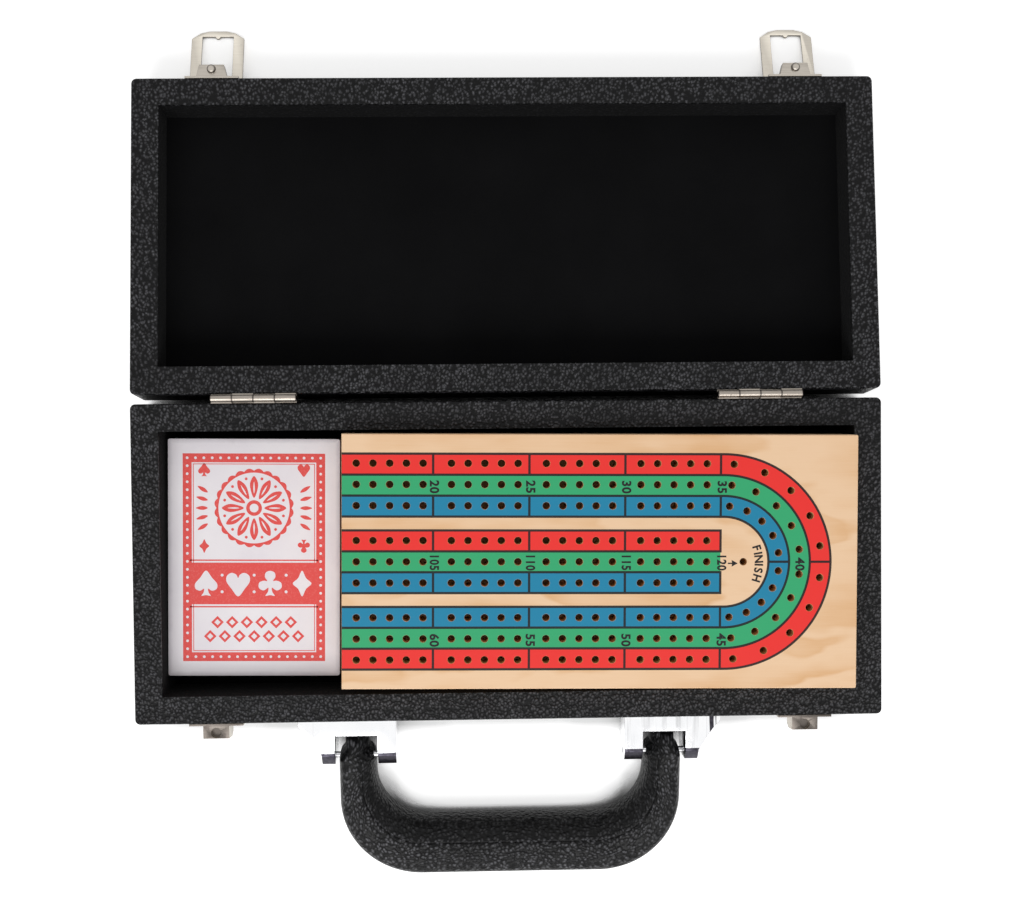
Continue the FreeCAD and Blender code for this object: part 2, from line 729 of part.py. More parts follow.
def handle_bracket(name, side):
    """A cast bracket: two arms that hold the pin, and a low wing with a screw on its outer side."""
    bracket = body(name)

    def outline(points):
        return [(f"{side} * ({x})", f"-(half_width + {y})") for x, y in points]

    slot_in, slot_out = "leg_centre - bracket_slot / 2", "leg_centre + bracket_slot / 2"
    low, high = "pin_height - bracket_height / 2", "pin_height + bracket_height / 2"
    foot = f"{slot_out} + outer_foot"
    pad(bracket, "XY", low, high, outline([
        (f"{slot_in} - inner_arm", "0"),
        (f"{slot_in} - inner_arm", "arm_out"),
        (slot_in, "arm_out"),
        (slot_in, "bracket_floor"),
        (slot_out, "bracket_floor"),
        (slot_out, "arm_out"),
        (f"{slot_out} + outer_arm", "arm_out"),
        (f"{slot_out} + outer_arm", "arm_shoulder"),
        (foot, "foot_out"),
        (foot, "0")]))
    arm_end = "-(half_width + arm_out)"
    round_edges(bracket, "arm_chamfer", lambda a, b: near(a.y, arm_end) and near(b.y, arm_end)
                and not upright(a, b), "Chamfer")
    pad(bracket, "XY", "pin_height - wing_height / 2", "pin_height + wing_height / 2", outline([
        (f"{slot_out} + outer_arm / 2", "0"),
        (f"{foot} + wing_reach", "0"),
        (f"{foot} + wing_reach", "wing_edge"),
        (f"{foot} + wing_waist", "wing_waist_out"),
        (f"{slot_out} + outer_arm", "wing_arm_out"),
        (f"{slot_out} + outer_arm / 2", "wing_arm_out")]))
    pocket(bracket, "YZ", *sorted((f"{side} * ({slot_in} - inner_arm)",
                                   f"{side} * ({foot})"), key=number),
           circles=[("-pin_line", "pin_height")], radius="handle_pin_radius + bore_clearance")
    screws = [(f"{side} * leg_centre", "pin_height"),
              (f"{side} * ({foot} + wing_reach / 2)", "pin_height")]
    pocket(bracket, "XZ", "-(half_width + screw_seat)", "-half_width", circles=screws,
           radius="screw_radius + hole_clearance")
    pocket(bracket, "XZ", "-(half_width + foot_out)", "-(half_width + screw_seat)",
           circles=screws, radius="screw_head_radius + swing_gap")


def handle_outline(end, reach, outer, inner, depth, cut=None):
    """The D seen from above, its legs ending past the pins, with square or cut corners."""
    if cut:
        # a 45-degree cut that keeps the strap's width
        inner_cut = f"({cut} - (2 - sqrt(2)) * ({outer} - ({inner})))"
        half = [(outer, end), (outer, f"{reach} - {cut}"), (f"{outer} - {cut}", reach)]
        back = [(f"{inner} - {inner_cut}", depth), (inner, f"{depth} - {inner_cut}"), (inner, end)]
    else:
        half = [(outer, end), (outer, reach)]
        back = [(inner, depth), (inner, end)]
    points = half + [(f"-({x})", y) for x, y in half[::-1]] \
        + [(f"-({x})", y) for x, y in back[::-1]] + back
    return [(x, f"-(pin_line + {y})") for x, y in points]


def bend_edges(part, reach, depth, outer_radius, inner_radius):
    """Rounds the two outer and the two inner corners of a D."""
    for level, radius in ((reach, outer_radius), (depth, inner_radius)):
        y = number(f"-(pin_line + {level})")
        round_edges(part, radius, lambda a, b: upright(a, b) and abs(a.y - y) < 1e-4)


leg_outer, leg_inner = "leg_centre + leg_width / 2", "leg_centre - leg_width / 2"
core_outer, core_inner = "leg_centre + core_width / 2", "leg_centre - core_width / 2"
grip_middle = "handle_reach - grip_width / 2"
core_reach, core_depth = f"{grip_middle} + core_width / 2", f"{grip_middle} - core_width / 2"
core_end = "-leg_end_radius / 2"


def core_block(part, low, high, cut):
    """The strap's D, as material of the core or as the hollow that it fills in the grip."""
    points = handle_outline(core_end, core_reach, core_outer, core_inner, core_depth, "core_bend")
    return (pocket if cut else pad)(part, "XY", low, high, points)


core = body("handle_core")
core_low, core_high = "pin_height - core_thickness / 2", "pin_height + core_thickness / 2"
core_block(core, core_low, core_high, cut=False)
for centre in ("-leg_centre", "leg_centre"):
    pocket(core, "YZ", f"{centre} - core_width / 2", f"{centre} + core_width / 2",
           circles=[("-pin_line", "pin_height")], radius="handle_pin_radius + bore_clearance")

grip = body("handle_grip")
grip_low, grip_high = "pin_height - grip_thickness / 2", "pin_height + grip_thickness / 2"
leg_tip = "leg_end_radius - pin_line"
pad(grip, "XY", grip_low, grip_high,
    handle_outline("-leg_end_radius", "handle_reach", leg_outer, leg_inner,
                   "handle_reach - grip_width"))
bend_edges(grip, "handle_reach", "handle_reach - grip_width", "outer_bend", "inner_bend")
round_edges(grip, "leg_end_radius", lambda a, b: near(a.y, leg_tip) and near(b.y, leg_tip)
            and not upright(a, b))
round_edges(grip, "grip_round", at_level(grip_high))
core_block(grip, core_low, core_high, cut=True)
for centre in ("-leg_centre", "leg_centre"):
    pocket(grip, "YZ", f"{centre} - leg_width / 2", f"{centre} + leg_width / 2",
           circles=[("-pin_line", "pin_height")], radius="handle_pin_radius + bore_clearance")

for name, side in (("left", -1), ("right", 1)):
    handle_bracket(f"{name}_handle_bracket", side)
    ends = sorted((f"{side} * (leg_centre - bracket_slot / 2 - inner_arm + joint_gap)",
                   f"{side} * (leg_centre + bracket_slot / 2 + outer_arm - joint_gap)"),
                  key=number)
    pad(body(f"{name}_handle_pin"), "YZ", *ends, circles=[("-pin_line", "pin_height")],
        radius="handle_pin_radius")

fasteners("bracket_screws",
          [(x, "-(half_width + screw_seat)", "pin_height") for x in bracket_screws_across],
          "+Y", "screw_head", "screw_head_radius", "screw_depth", "screw_radius")


# ---------------------------------------------------------------- the folding board

fold_hinge_middles = {"front": "fold_inset", "rear": "board_width - fold_inset"}
rows = [f"middle_row + {track} * track_spacing + {row} * row_pitch"
        for track in (-1, 0, 1) for row in (-1, 0, 1)]


def repeated(part, original, count, length=None, angle=None):
    """Copies a pocket along its sketch's X axis, or round its sketch's origin."""
    kind = "LinearPattern" if length else "PolarPattern"
    pattern = part.newObject(f"PartDesign::{kind}", f"{part.Name}_{kind.lower()}")
    pattern.Originals = [original]
    if length:
        pattern.Direction = (original.Profile[0], ["H_Axis"])
        pattern.setExpression("Length", linked(length))
    else:
        pattern.Axis = (original.Profile[0], ["N_Axis"])
        pattern.Angle = angle
    pattern.Occurrences = count
    before = part.Shape.Volume
    part.Tip = pattern
    doc.recompute()
    if part.Shape.Volume >= before:
        raise RuntimeError(f"a pattern in {part.Label} adds no hole")


def peg_holes(part, low, high, start, groups):
    """The straight tracks: nine rows of holes in groups of five."""
    holes = pocket(part, "XY", low, high, radius="peg_hole_radius",
                   circles=[(f"{start} + {i} * hole_pitch", row) for row in rows
                            for i in range(GROUP_HOLES)])
    repeated(part, holes, groups, length=f"{groups - 1} * group_pitch")


def bend_holes(part, low, high, centre, middle_radius, count, step):
    """The three rows round a bend, `step` degrees apart and centred on the board's length."""
    start = -math.radians((count - 1) * step / 2)
    circles = [(f"{math.cos(start):.6f} * ({middle_radius} + {row} * row_pitch)",
                f"{math.sin(start):.6f} * ({middle_radius} + {row} * row_pitch)")
               for row in (-1, 0, 1)]
    holes = pocket(part, "XY", low, high, circles=circles, radius="peg_hole_radius",
                   centre=centre)
    repeated(part, holes, count, angle=(count - 1) * step)


def fold_seats(part, back, into):
    """Recesses for the two hinges in the board's back, and the holes of their screws."""
    for middle in fold_hinge_middles.values():
        span = (f"{middle} - fold_half - joint_gap", f"{middle} + fold_half + joint_gap")
        for reach, depth in (("fold_leaf_length + joint_gap", "fold_leaf_thickness"),
                             ("fold_knuckle_radius + swing_gap",
                              "fold_knuckle_radius + swing_gap")):
            levels = sorted((back, f"{back} + {into} * ({depth})"), key=number)
            pocket(part, "XY", *levels, rectangle("-joint_gap", reach, *span))
        levels = sorted((f"{back} + {into} * fold_leaf_thickness",
                         f"{back} + {into} * (fold_screw_depth + fold_leaf_thickness)"),
                        key=number)
        pocket(part, "XY", *levels, radius="fold_screw_radius + hole_clearance", circles=[
            ("fold_screw_along", f"{middle} + {side} * fold_screw_apart / 2")
            for side in (-1, 1)])


def board_half(name, low, high, face):
    """A block of pine with rounded corners and eased edges on its playing face."""
    half = body(name)
    pad(half, "XY", low, high, rectangle("0", "board_length", "0", "board_width"))
    far_end = number("board_length")
    round_edges(half, "board_corner", lambda a, b: upright(a, b) and abs(a.x - far_end) < 1e-4)
    round_edges(half, "board_edge", at_level(face))
    return half


upper = board_half("board_upper_half", "upper_back", "upper_face", "upper_face")
peg_holes(upper, "upper_face - peg_hole_depth", "upper_face", "first_hole", UPPER_GROUPS)
bend_holes(upper, "upper_face - peg_hole_depth", "upper_face", ("bend_centre", "middle_row"),
           "track_spacing", UPPER_BEND_HOLES, number("bend_hole_turn"))
pocket(upper, "XY", "upper_face - peg_hole_depth", "upper_face", radius="peg_hole_radius",
       circles=[("finish_hole", "middle_row")])
fold_seats(upper, "upper_back", 1)

lower = board_half("board_lower_half", "0", "board_thickness", "0")
peg_holes(lower, "0", "peg_hole_depth", "mirror_hole", LOWER_GROUPS)
bend_holes(lower, "0", "peg_hole_depth", ("small_bend", "middle_row - track_spacing / 2"),
           "track_spacing / 2", LOWER_BEND_HOLES, 180 / LOWER_BEND_HOLES)
start_rows = [f"middle_row + track_spacing + {row} * row_pitch" for row in (-1, 0, 1)]
pocket(lower, "XY", "0", "peg_hole_depth", radius="peg_hole_radius", circles=[
    (f"small_bend + {step} * hole_pitch", row) for row in start_rows for step in (1, 2)])
fold_seats(lower, "board_thickness", -1)
well_half = "peg_count / 2 * peg_pitch"
pocket(lower, "XY", "board_thickness - well_depth", "board_thickness",
       rectangle("well_start", "well_start + peg_length + 2 * peg_clearance",
                 f"middle_row - {well_half}", f"middle_row + {well_half}"))


def fold_leaf(name, middle, low, high, knuckles, screw_low, screw_high):
    """A small brass leaf let into the board's back."""
    leaf = body(name)
    clear = "fold_knuckle_radius + swing_gap"
    pad(leaf, "XY", low, high,
        rectangle(clear, "fold_leaf_length", f"{middle} - fold_half", f"{middle} + fold_half"))
    for index in knuckles:
        span = (f"{middle} + {index - 1.5} * fold_knuckle + joint_gap / 2",
                f"{middle} + {index - 0.5} * fold_knuckle - joint_gap / 2")
        pad(leaf, "XY", low, high, rectangle("-fold_end_gap", clear, *span))
        pad(leaf, "XZ", *span, circles=[("-fold_end_gap", "fold_height")],
            radius="fold_knuckle_radius")
    pocket(leaf, "XZ", f"{middle} - fold_half", f"{middle} + fold_half",
           circles=[("-fold_end_gap", "fold_height")],
           radius="fold_pin_radius + bore_clearance")
    screws = [("fold_screw_along", f"{middle} + {side} * fold_screw_apart / 2")
              for side in (-1, 1)]
    pocket(leaf, "XY", low, high, circles=screws, radius="fold_screw_radius + hole_clearance")
    pocket(leaf, "XY", screw_low, screw_high, circles=screws,
           radius="fold_screw_head + hole_clearance")


for place_name, middle in fold_hinge_middles.items():
    fold_leaf(f"{place_name}_fold_lower_leaf", middle, "board_thickness - fold_leaf_thickness",
              "board_thickness", (0, 2), "board_thickness - fold_head_depth", "board_thickness")
    fold_leaf(f"{place_name}_fold_upper_leaf", middle, "upper_back",
              "upper_back + fold_leaf_thickness", (1,), "upper_back",
              "upper_back + fold_head_depth")
    pad(body(f"{place_name}_fold_pin"), "XZ", f"{middle} - fold_half", f"{middle} + fold_half",
        circles=[("-fold_end_gap", "fold_height")], radius="fold_pin_radius")

fold_screws = [("fold_screw_along", f"{middle} + {side} * fold_screw_apart / 2")
               for middle in fold_hinge_middles.values() for side in (-1, 1)]
shank_length = "fold_screw_depth - fold_head_depth"
fasteners("fold_lower_screws",
          [(x, y, "board_thickness - fold_head_depth") for x, y in fold_screws],
          "-Z", "fold_head_depth", "fold_screw_head", shank_length, "fold_screw_radius")
fasteners("fold_upper_screws",
          [(x, y, "upper_back + fold_head_depth") for x, y in fold_screws],
          "+Z", "fold_head_depth", "fold_screw_head", shank_length, "fold_screw_radius")

for track, colour in enumerate(PEG_COLOURS):
    pieces = []
    for i in range(PEGS_EACH):
        across = f"middle_row + ({PEGS_EACH * track + i} - (peg_count - 1) / 2) * peg_pitch"
        height = "board_thickness - well_depth + peg_head_radius + bore_clearance"
        start = "well_start + peg_clearance"
        pieces.append(round_bar(f"{colour}_peg_point", "+X", (start, across, height),
                                "peg_point", "peg_tip_radius", "peg_neck_radius"))
        pieces.append(round_bar(f"{colour}_peg_head", "+X",
                                (f"{start} + peg_point", across, height),
                                "peg_head", "peg_neck_radius", "peg_head_radius"))
    joined(f"{colour}_pegs", pieces)


# ---------------------------------------------------------------- the card box

card_box = body("card_box")
pad(card_box, "XY", "0", "card_box_height",
    rectangle("0", "card_box_width", "0", "card_box_length"))
round_edges(card_box, "card_box_corner", upright)
pocket(card_box, "XY", "carton", "card_box_height - carton",
       rectangle("carton", "card_box_width - carton", "carton", "card_box_length - carton"))

deck = body("playing_cards")
margin = "carton + deck_play"
pad(deck, "XY", "carton", f"card_box_height - ({margin})",
    rectangle(margin, f"card_box_width - ({margin})", margin, f"card_box_length - ({margin})"))
round_edges(deck, "deck_corner", upright)


# ---------------------------------------------------------------- where everything rests

FOLDING = ("board_upper_half", "board_lower_half", "fold_lower_screws", "fold_upper_screws",
           "red_pegs", "green_pegs", "blue_pegs")
for name in list(parts):
    if name.startswith("lid_") or name.endswith(("_hinge_lid_leaf", "_latch_plate", "_latch_pin")):
        place(name, lid_open)
    elif name.endswith("_latch_loop"):
        place(name, loop_rest)
    elif name in ("handle_grip", "handle_core"):
        place(name, handle_rest)
    elif name in FOLDING or "_fold_" in name:
        place(name, board_rest)
    elif name in ("card_box", "playing_cards"):
        place(name, card_rest)

doc.recompute()
for thing in doc.Objects:
    if {"Invalid", "Error"} & set(thing.State):
        raise RuntimeError(f"{thing.Label} failed to build")
for name, part in parts.items():
    if part.Shape.isNull() or not part.Shape.isValid():
        raise RuntimeError(f"{name} has no valid shape")

os.makedirs("parts", exist_ok=True)
for name, part in parts.items():
    part.Shape.exportStep(f"parts/{name}.step")
print(f"{len(parts)} nodes; lid past flat {lid_droop:.3f}, loop {loop_swing:.3f} from hanging, "
      f"handle droop {handle_droop:.3f}")
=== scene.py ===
import math
from functools import partialmethod

import bmesh
import bpy
from mathutils import Matrix, Vector


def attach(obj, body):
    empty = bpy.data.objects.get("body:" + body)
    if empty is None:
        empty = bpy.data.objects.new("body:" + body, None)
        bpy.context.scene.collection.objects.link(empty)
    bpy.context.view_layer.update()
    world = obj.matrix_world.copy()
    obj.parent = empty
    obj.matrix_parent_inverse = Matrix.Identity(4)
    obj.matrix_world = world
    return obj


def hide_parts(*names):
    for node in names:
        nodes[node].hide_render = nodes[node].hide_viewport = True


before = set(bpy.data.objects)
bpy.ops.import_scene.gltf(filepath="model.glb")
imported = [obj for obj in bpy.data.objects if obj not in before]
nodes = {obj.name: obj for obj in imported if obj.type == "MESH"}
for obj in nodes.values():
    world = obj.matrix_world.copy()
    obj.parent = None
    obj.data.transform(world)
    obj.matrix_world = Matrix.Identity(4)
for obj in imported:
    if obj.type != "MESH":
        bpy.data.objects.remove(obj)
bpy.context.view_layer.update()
mm = 0.001


# ------------------------ the cover of the case
# PVC leatherette on a cloth backing, embossed with a close pebble grain. Four sheets are glued
# round the walls and turned over the rims, and two more cover the underside and the lid's top.

def shade(red, green, blue):
    """A colour given from 0 to 255 a channel, as the light values that a shader mixes."""
    def linear(value):
        value /= 255
        return value / 12.92 if value <= 0.04045 else ((value + 0.055) / 1.055) ** 2.4
    return (linear(red), linear(green), linear(blue), 1.0)


def feed(slot, value):
    """Gives a node's input a number, a colour, or what another node puts out."""
    if isinstance(value, Field):
        value = value.socket
    if isinstance(value, bpy.types.NodeSocket):
        slot.id_data.links.new(value, slot)
    else:
        slot.default_value = value


def add(tree, kind, feeds, **settings):
    """Adds a node to a finish or a shape, with its settings and its inputs."""
    node = tree.nodes.new(kind if "Node" in kind else "ShaderNode" + kind)
    for key, value in settings.items():
        setattr(node, key, value)
    for key, value in feeds.items():
        feed(node.inputs[key], value)
    return node


class Field:
    """A number that varies over a surface: arithmetic on it adds Math nodes."""

    def __init__(self, socket):
        self.tree, self.socket = socket.id_data, socket

    def math(self, operation, *others):
        values = (self, *others)
        node = add(self.tree, "Math", dict(enumerate(values)), operation=operation)
        return Field(node.outputs[0])

    __add__ = partialmethod(math, "ADD")
    __sub__ = partialmethod(math, "SUBTRACT")
    __mul__ = partialmethod(math, "MULTIPLY")
    size = partialmethod(math, "ABSOLUTE")
    above = partialmethod(math, "GREATER_THAN")
    below = partialmethod(math, "LESS_THAN")
    at_least = partialmethod(math, "MAXIMUM")
    at_most = partialmethod(math, "MINIMUM")
    fraction = partialmethod(math, "FRACT")
    rounded = partialmethod(math, "ROUND")

    def between(self, low, high):
        return self.above(low) * self.below(high)

    def ramp(self, low, high, start=0.0, end=1.0):
        """Start up to `low`, end from `high` on, and evenly between."""
        node = add(self.tree, "MapRange", {"Value": self, "From Min": low, "From Max": high,
                                           "To Min": start, "To Max": end})
        return Field(node.outputs["Result"])


def axes(vector):
    """The three numbers of a vector, as fields."""
    split = add(vector.id_data, "SeparateXYZ", {"Vector": vector})
    return [Field(out) for out in split.outputs]


def length(a, b):
    return (a * a + b * b).math("SQRT")


def either(first, *others):
    """The highest of some fields."""
    for other in others:
        first = first.at_least(other)
    return first


def mixed(amount, first, second):
    """One colour going over into another."""
    node = add(amount.tree, "Mix", {0: amount, 6: first, 7: second}, data_type="RGBA")
    return node.outputs[2]


def noise(place, scale, detail=2.0, roughness=0.5):
    node = add(place.id_data, "TexNoise", {"Vector": place, "Scale": scale, "Detail": detail,
                                           "Roughness": roughness})
    return Field(node.outputs["Fac"])


def coordinates(tree, kind):
    """Where a point is on its object, or, as "Normal", the way its face points."""
    return tree.nodes.new("ShaderNodeTexCoord").outputs[kind]


def facing_up(here):
    """The upward part of the way a face points, from -1 to 1."""
    return axes(coordinates(here.id_data, "Normal"))[2]


def stretched(place, *scale):
    """A place multiplied along each axis, which draws a texture out along the others."""
    return add(place.id_data, "Mapping", {"Vector": place, "Scale": scale}).outputs["Vector"]


def finish(name, metallic=0.0, specular=0.5, coat=0.0, sheen=0.0):
    """A new finish: its material and the place on the object."""
    material = bpy.data.materials.new(name)
    material.use_nodes = True
    tree = material.node_tree
    for key, value in (("Metallic", metallic), ("Specular IOR Level", specular),
                       ("Coat Weight", coat), ("Sheen Weight", sheen)):
        tree.nodes["Principled BSDF"].inputs[key].default_value = value
    return material, coordinates(tree, "Object")


def finished(material, colour, roughness, height, depth):
    """Sets what a finish shows; a `height` from 0 to 1 stands for `depth` metres of relief."""
    tree = material.node_tree
    bump = add(tree, "Bump", {"Height": height, "Distance": depth, "Strength": 1.0})
    for key, value in (("Base Color", colour), ("Roughness", roughness),
                       ("Normal", bump.outputs["Normal"])):
        feed(tree.nodes["Principled BSDF"].inputs[key], value)
    return material


def dress(material, *names):
    """Gives nodes of the frame their finish."""
    for name in names:
        for slot in nodes[name].material_slots:
            slot.material = material


def pebbles(place, pitch, crown_size):
    """Pebble grain: its height, the crown of each pebble, and a number that differs by pebble."""
    tree = place.id_data
    drift = add(tree, "TexNoise", {"Vector": place, "Scale": 0.3 / pitch, "Detail": 2.0})
    shifted = add(tree, "VectorMath", {0: drift.outputs["Color"], 1: (1.5 * pitch,) * 3,
                                       2: place}, operation="MULTIPLY_ADD").outputs[0]
    cell = add(tree, "TexVoronoi", {"Vector": shifted, "Scale": 1 / pitch, "Randomness": 0.95},
               feature="F1")
    away = Field(cell.outputs["Distance"])
    which = axes(cell.outputs["Color"])[0]
    dome = away.ramp(0.0, 0.78, 1.0, 0.0)
    crown = away.ramp(0.05, crown_size, 1.0, 0.0)
    return dome, crown, which


def leatherette(name, pitch, body_grey, crown_grey, crown_size, place=None):
    """Black leatherette: creases darkened by painted shade, pebble crowns lighter (partly wear,
    partly painted highlight), and, where a place is given as on the handle, painted shade past the
    seam.
    """
    material, here = finish(name, specular=0.16)
    if place:
        here = place(here.id_data)
    dome, crown, which = pebbles(here, pitch, crown_size)
    fine = noise(here, 3.6 / mm, 3.0, 0.65)
    patchy = noise(here, 0.035 / mm, 3.0)
    # Lighter crowns: partly wear, partly a painted highlight.
    rubbed = crown * which.ramp(0.0, 1.0, 0.55, 1.0) * patchy.ramp(0.3, 0.7, 0.6, 1.25)
    # Painted shade: past the seam, round the handle's inner side, the crowns stay darker.
    if place:
        rubbed = rubbed * axes(here)[1].ramp(0.0, 2.0 * mm, 1.0, 0.3)
    # Painted shade: the creases between the pebbles are darker than the domes.
    body_tone = mixed(dome.ramp(0.2, 0.8), shade(5, 5, 6),
                      shade(body_grey, body_grey, body_grey + 1))
    colour = mixed(rubbed * fine.ramp(0.3, 0.7, 0.6, 1.0), body_tone,
                   shade(crown_grey, crown_grey, crown_grey + 4))
    return finished(material, colour, fine.ramp(0.3, 0.7, 0.26, 0.42) + which * 0.1,
                    dome * (which * 0.4 + 0.6) + fine * 0.05, 0.5 * mm)


case_grain, crown_spread = 1.2 * mm, 0.52
cover = leatherette("pebbled leatherette", case_grain, 24, 98, crown_spread)
dress(cover, "base_side_cover", "base_underside_cover", "lid_side_cover", "lid_top_cover")


# ------------------------ panels and linings
# The walls and floors are plain birch plywood, hidden when the case is finished. A tray of black
# paper felt lines each half; where the sheet turns over the rim its grain shows through.

ply_thickness = 1.4


def plywood():
    material, here = finish("birch plywood", specular=0.3)
    grain = noise(stretched(here, 40.0, 420.0, 420.0), 1.0, 5.0, 0.6)
    ply = (axes(here)[2] * (1 / (ply_thickness * mm))).fraction().between(0.42, 0.58)
    colour = mixed(grain.ramp(0.3, 0.7), shade(222, 194, 150), shade(196, 160, 112))
    return finished(material, mixed(ply * 0.35, colour, shade(120, 84, 52)),
                    grain.ramp(0.2, 0.8, 0.5, 0.72), grain, 0.08 * mm)


def felt():
    """Matt black felt on the flat, with the cover's grain faintly through it on the walls, whose
    pebble crowns are lighter by a painted highlight.
    """
    material, here = finish("black felt", specular=0.04, sheen=0.02)
    wall = facing_up(here).size().ramp(0.35, 0.6, 1.0, 0.0)
    nap = noise(here, 2600.0, 4.0, 0.7)
    cloud = noise(here, 32.0, 3.0)
    dome, crown, which = pebbles(here, case_grain, crown_spread)
    flat = mixed((nap * 0.6 + cloud * 0.4).ramp(0.3, 0.7), shade(9, 9, 10),
                 shade(19, 19, 20))
    # Painted highlight: the crowns of the grain on the walls are lighter.
    grained = mixed((crown * which).ramp(0.1, 0.8), shade(9, 9, 10), shade(34, 34, 36))
    return finished(material, mixed(wall, flat, grained), nap.ramp(0.2, 0.8, 0.86, 1.0),
                    nap * 0.25 + dome * wall * 0.75, 0.2 * mm)


dress(plywood(), "base_floor_panel", "lid_top_panel",
      *[f"{half}_{side}_panel" for half in ("base", "lid")
        for side in ("front", "rear", "left", "right")])
dress(felt(), "base_lining", "lid_lining")


# ------------------------ hinges, loops and catches
# Pressed steel plated with satin nickel: rolled butt hinges behind, and at the front a loop on
# each lid plate that swings down over the catch. All are held by short rivets.

hinge_middle, knuckle, rolled_edge = 95.5, 8.0, 1.6
hinge_line, hinge_height = 62.23, 34.2


def satin_nickel(name, pale, deep, walls=0.0, tops=0.0, joints=False):
    """Satin plate, brushed along X, with dark spots, painted shade on its cut edges and side
    faces, a painted dark reflection on its tops, and darker where knuckles meet.
    """
    material, here = finish(name, metallic=1.0)
    edge = facing_up(here).size().ramp(0.75, 0.97, 1.0, 0.0)
    lines = noise(stretched(here, 120.0, 2600.0, 2600.0), 1.0, 3.0, 0.6)
    spots = noise(here, 240.0, 4.0, 0.6)
    colour = mixed(lines.ramp(0.3, 0.7), pale, deep)
    # Random dark spots, plus painted shade on the side faces and a painted dark reflection on the
    # tops.
    spots_and_shade = spots.ramp(0.62, 0.78, 0.0, 0.3) + edge * (walls - tops) + tops
    if joints:
        across, out, level = axes(here)
        across = (across.size() - hinge_middle * mm) * (1 / (knuckle * mm))
        beside = ((across + 0.5).fraction() - 0.5).size() * knuckle
        rolled = length(out - hinge_line * mm, level - hinge_height * mm).below(rolled_edge * mm)
        spots_and_shade = either(spots_and_shade, beside.ramp(0.16, 0.42, 0.95, 0.0) * rolled)
    return finished(material, mixed(spots_and_shade, colour, shade(84, 78, 74)),
                    lines.ramp(0.25, 0.75, 0.3, 0.4) + spots.ramp(0.55, 0.8, 0.0, 0.12),
                    lines * 0.4 + spots * 0.6, 0.006 * mm)


# Painted light and shade: one satin nickel in five copies, each set lighter or darker to how
# bright that part looks. The catch's copy paints a dark reflection on its tops; the loop's and the
# plate's paint shade on their side faces.
nickel = satin_nickel("satin nickel", shade(232, 225, 211), shade(222, 215, 201))
catch_nickel = satin_nickel("catch nickel", shade(200, 193, 182), shade(186, 179, 168), tops=0.94)
loop_nickel = satin_nickel("loop nickel", shade(250, 243, 229), shade(241, 233, 219), 0.8)
plate_nickel = satin_nickel("plate nickel", shade(196, 189, 179), shade(178, 171, 161), 0.85)
hinge_nickel = satin_nickel("hinge nickel", shade(172, 164, 155), shade(148, 140, 131),
                            joints=True)


def linked(name, data):
    """A new object of the scene."""
    thing = bpy.data.objects.new(name, data)
    bpy.context.scene.collection.objects.link(thing)
    return thing


def evaluated(thing):
    """The mesh that an object's modifiers, or its outlines and thickness, make of it."""
    depsgraph = bpy.context.evaluated_depsgraph_get()
    return bpy.data.meshes.new_from_object(thing.evaluated_get(depsgraph))


def settled(thing):
    """Makes what an object's modifiers do part of its mesh."""
    mesh = evaluated(thing)
    thing.modifiers.clear()
    thing.data = mesh


def made_whole(mesh):
    """A part's mesh to work on, with its flat faces whole again."""
    work = bmesh.new()
    work.from_mesh(mesh)
    bmesh.ops.remove_doubles(work, verts=work.verts, dist=0.004 * mm)
    bmesh.ops.dissolve_limit(work, angle_limit=math.radians(1.0), verts=work.verts,
                             edges=work.edges)
    return work


def discs(work, radius):
    """The flat round faces of this radius, and there are no others of nearly their area."""
    area = math.pi * (radius * mm) ** 2
    return [face for face in work.faces
            if len(face.verts) > 8 and 0.85 < face.calc_area() / area < 1.05]


def softened(name, width, material, body, segments=2, domed=None):
    """A copy of a pressed or cast part with its edges rounded off, which stands for the part."""
    copy = linked(name + "_finished", nodes[name].data.copy())
    work = made_whole(copy.data)
    if domed:
        rims = list({edge for face in discs(work, domed) for edge in face.edges})
        bmesh.ops.bevel(work, geom=rims, offset=domed * 0.6 * mm, segments=5, profile=0.5,
                        affect="EDGES")
    work.to_mesh(copy.data)
    work.free()
    copy.data.materials.clear()
    copy.data.materials.append(material)
    edges = copy.modifiers.new("rounded edges", "BEVEL")
    edges.width, edges.segments = width, segments
    edges.limit_method, edges.angle_limit = "ANGLE", math.radians(32)
    settled(copy)
    copy.data.shade_smooth()
    copy.data.set_sharp_from_angle(angle=math.radians(28))
    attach(copy, body)
    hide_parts(name)


stud_radius = 1.7
for side in ("left", "right"):
    softened(f"{side}_latch_loop", 0.22 * mm, loop_nickel, f"{side}_loop", 3)
    softened(f"{side}_latch_plate", 0.12 * mm, plate_nickel, "lid", domed=stud_radius)
    softened(f"{side}_latch_catch", 0.15 * mm, catch_nickel, "base")
    dress(hinge_nickel, *[f"{side}_hinge_{part}" for part in ("base_leaf", "lid_leaf", "pin")])
    dress(nickel, f"{side}_latch_pin")


def closed(name, work):
    """Ends the work on a closed shape: its faces point outwards and it becomes a mesh."""
    bmesh.ops.recalc_face_normals(work, faces=work.faces)
    mesh = bpy.data.meshes.new(name)
    work.to_mesh(mesh)
    work.free()
    return mesh


def polar(radius, angle):
    return radius * math.cos(angle), radius * math.sin(angle)


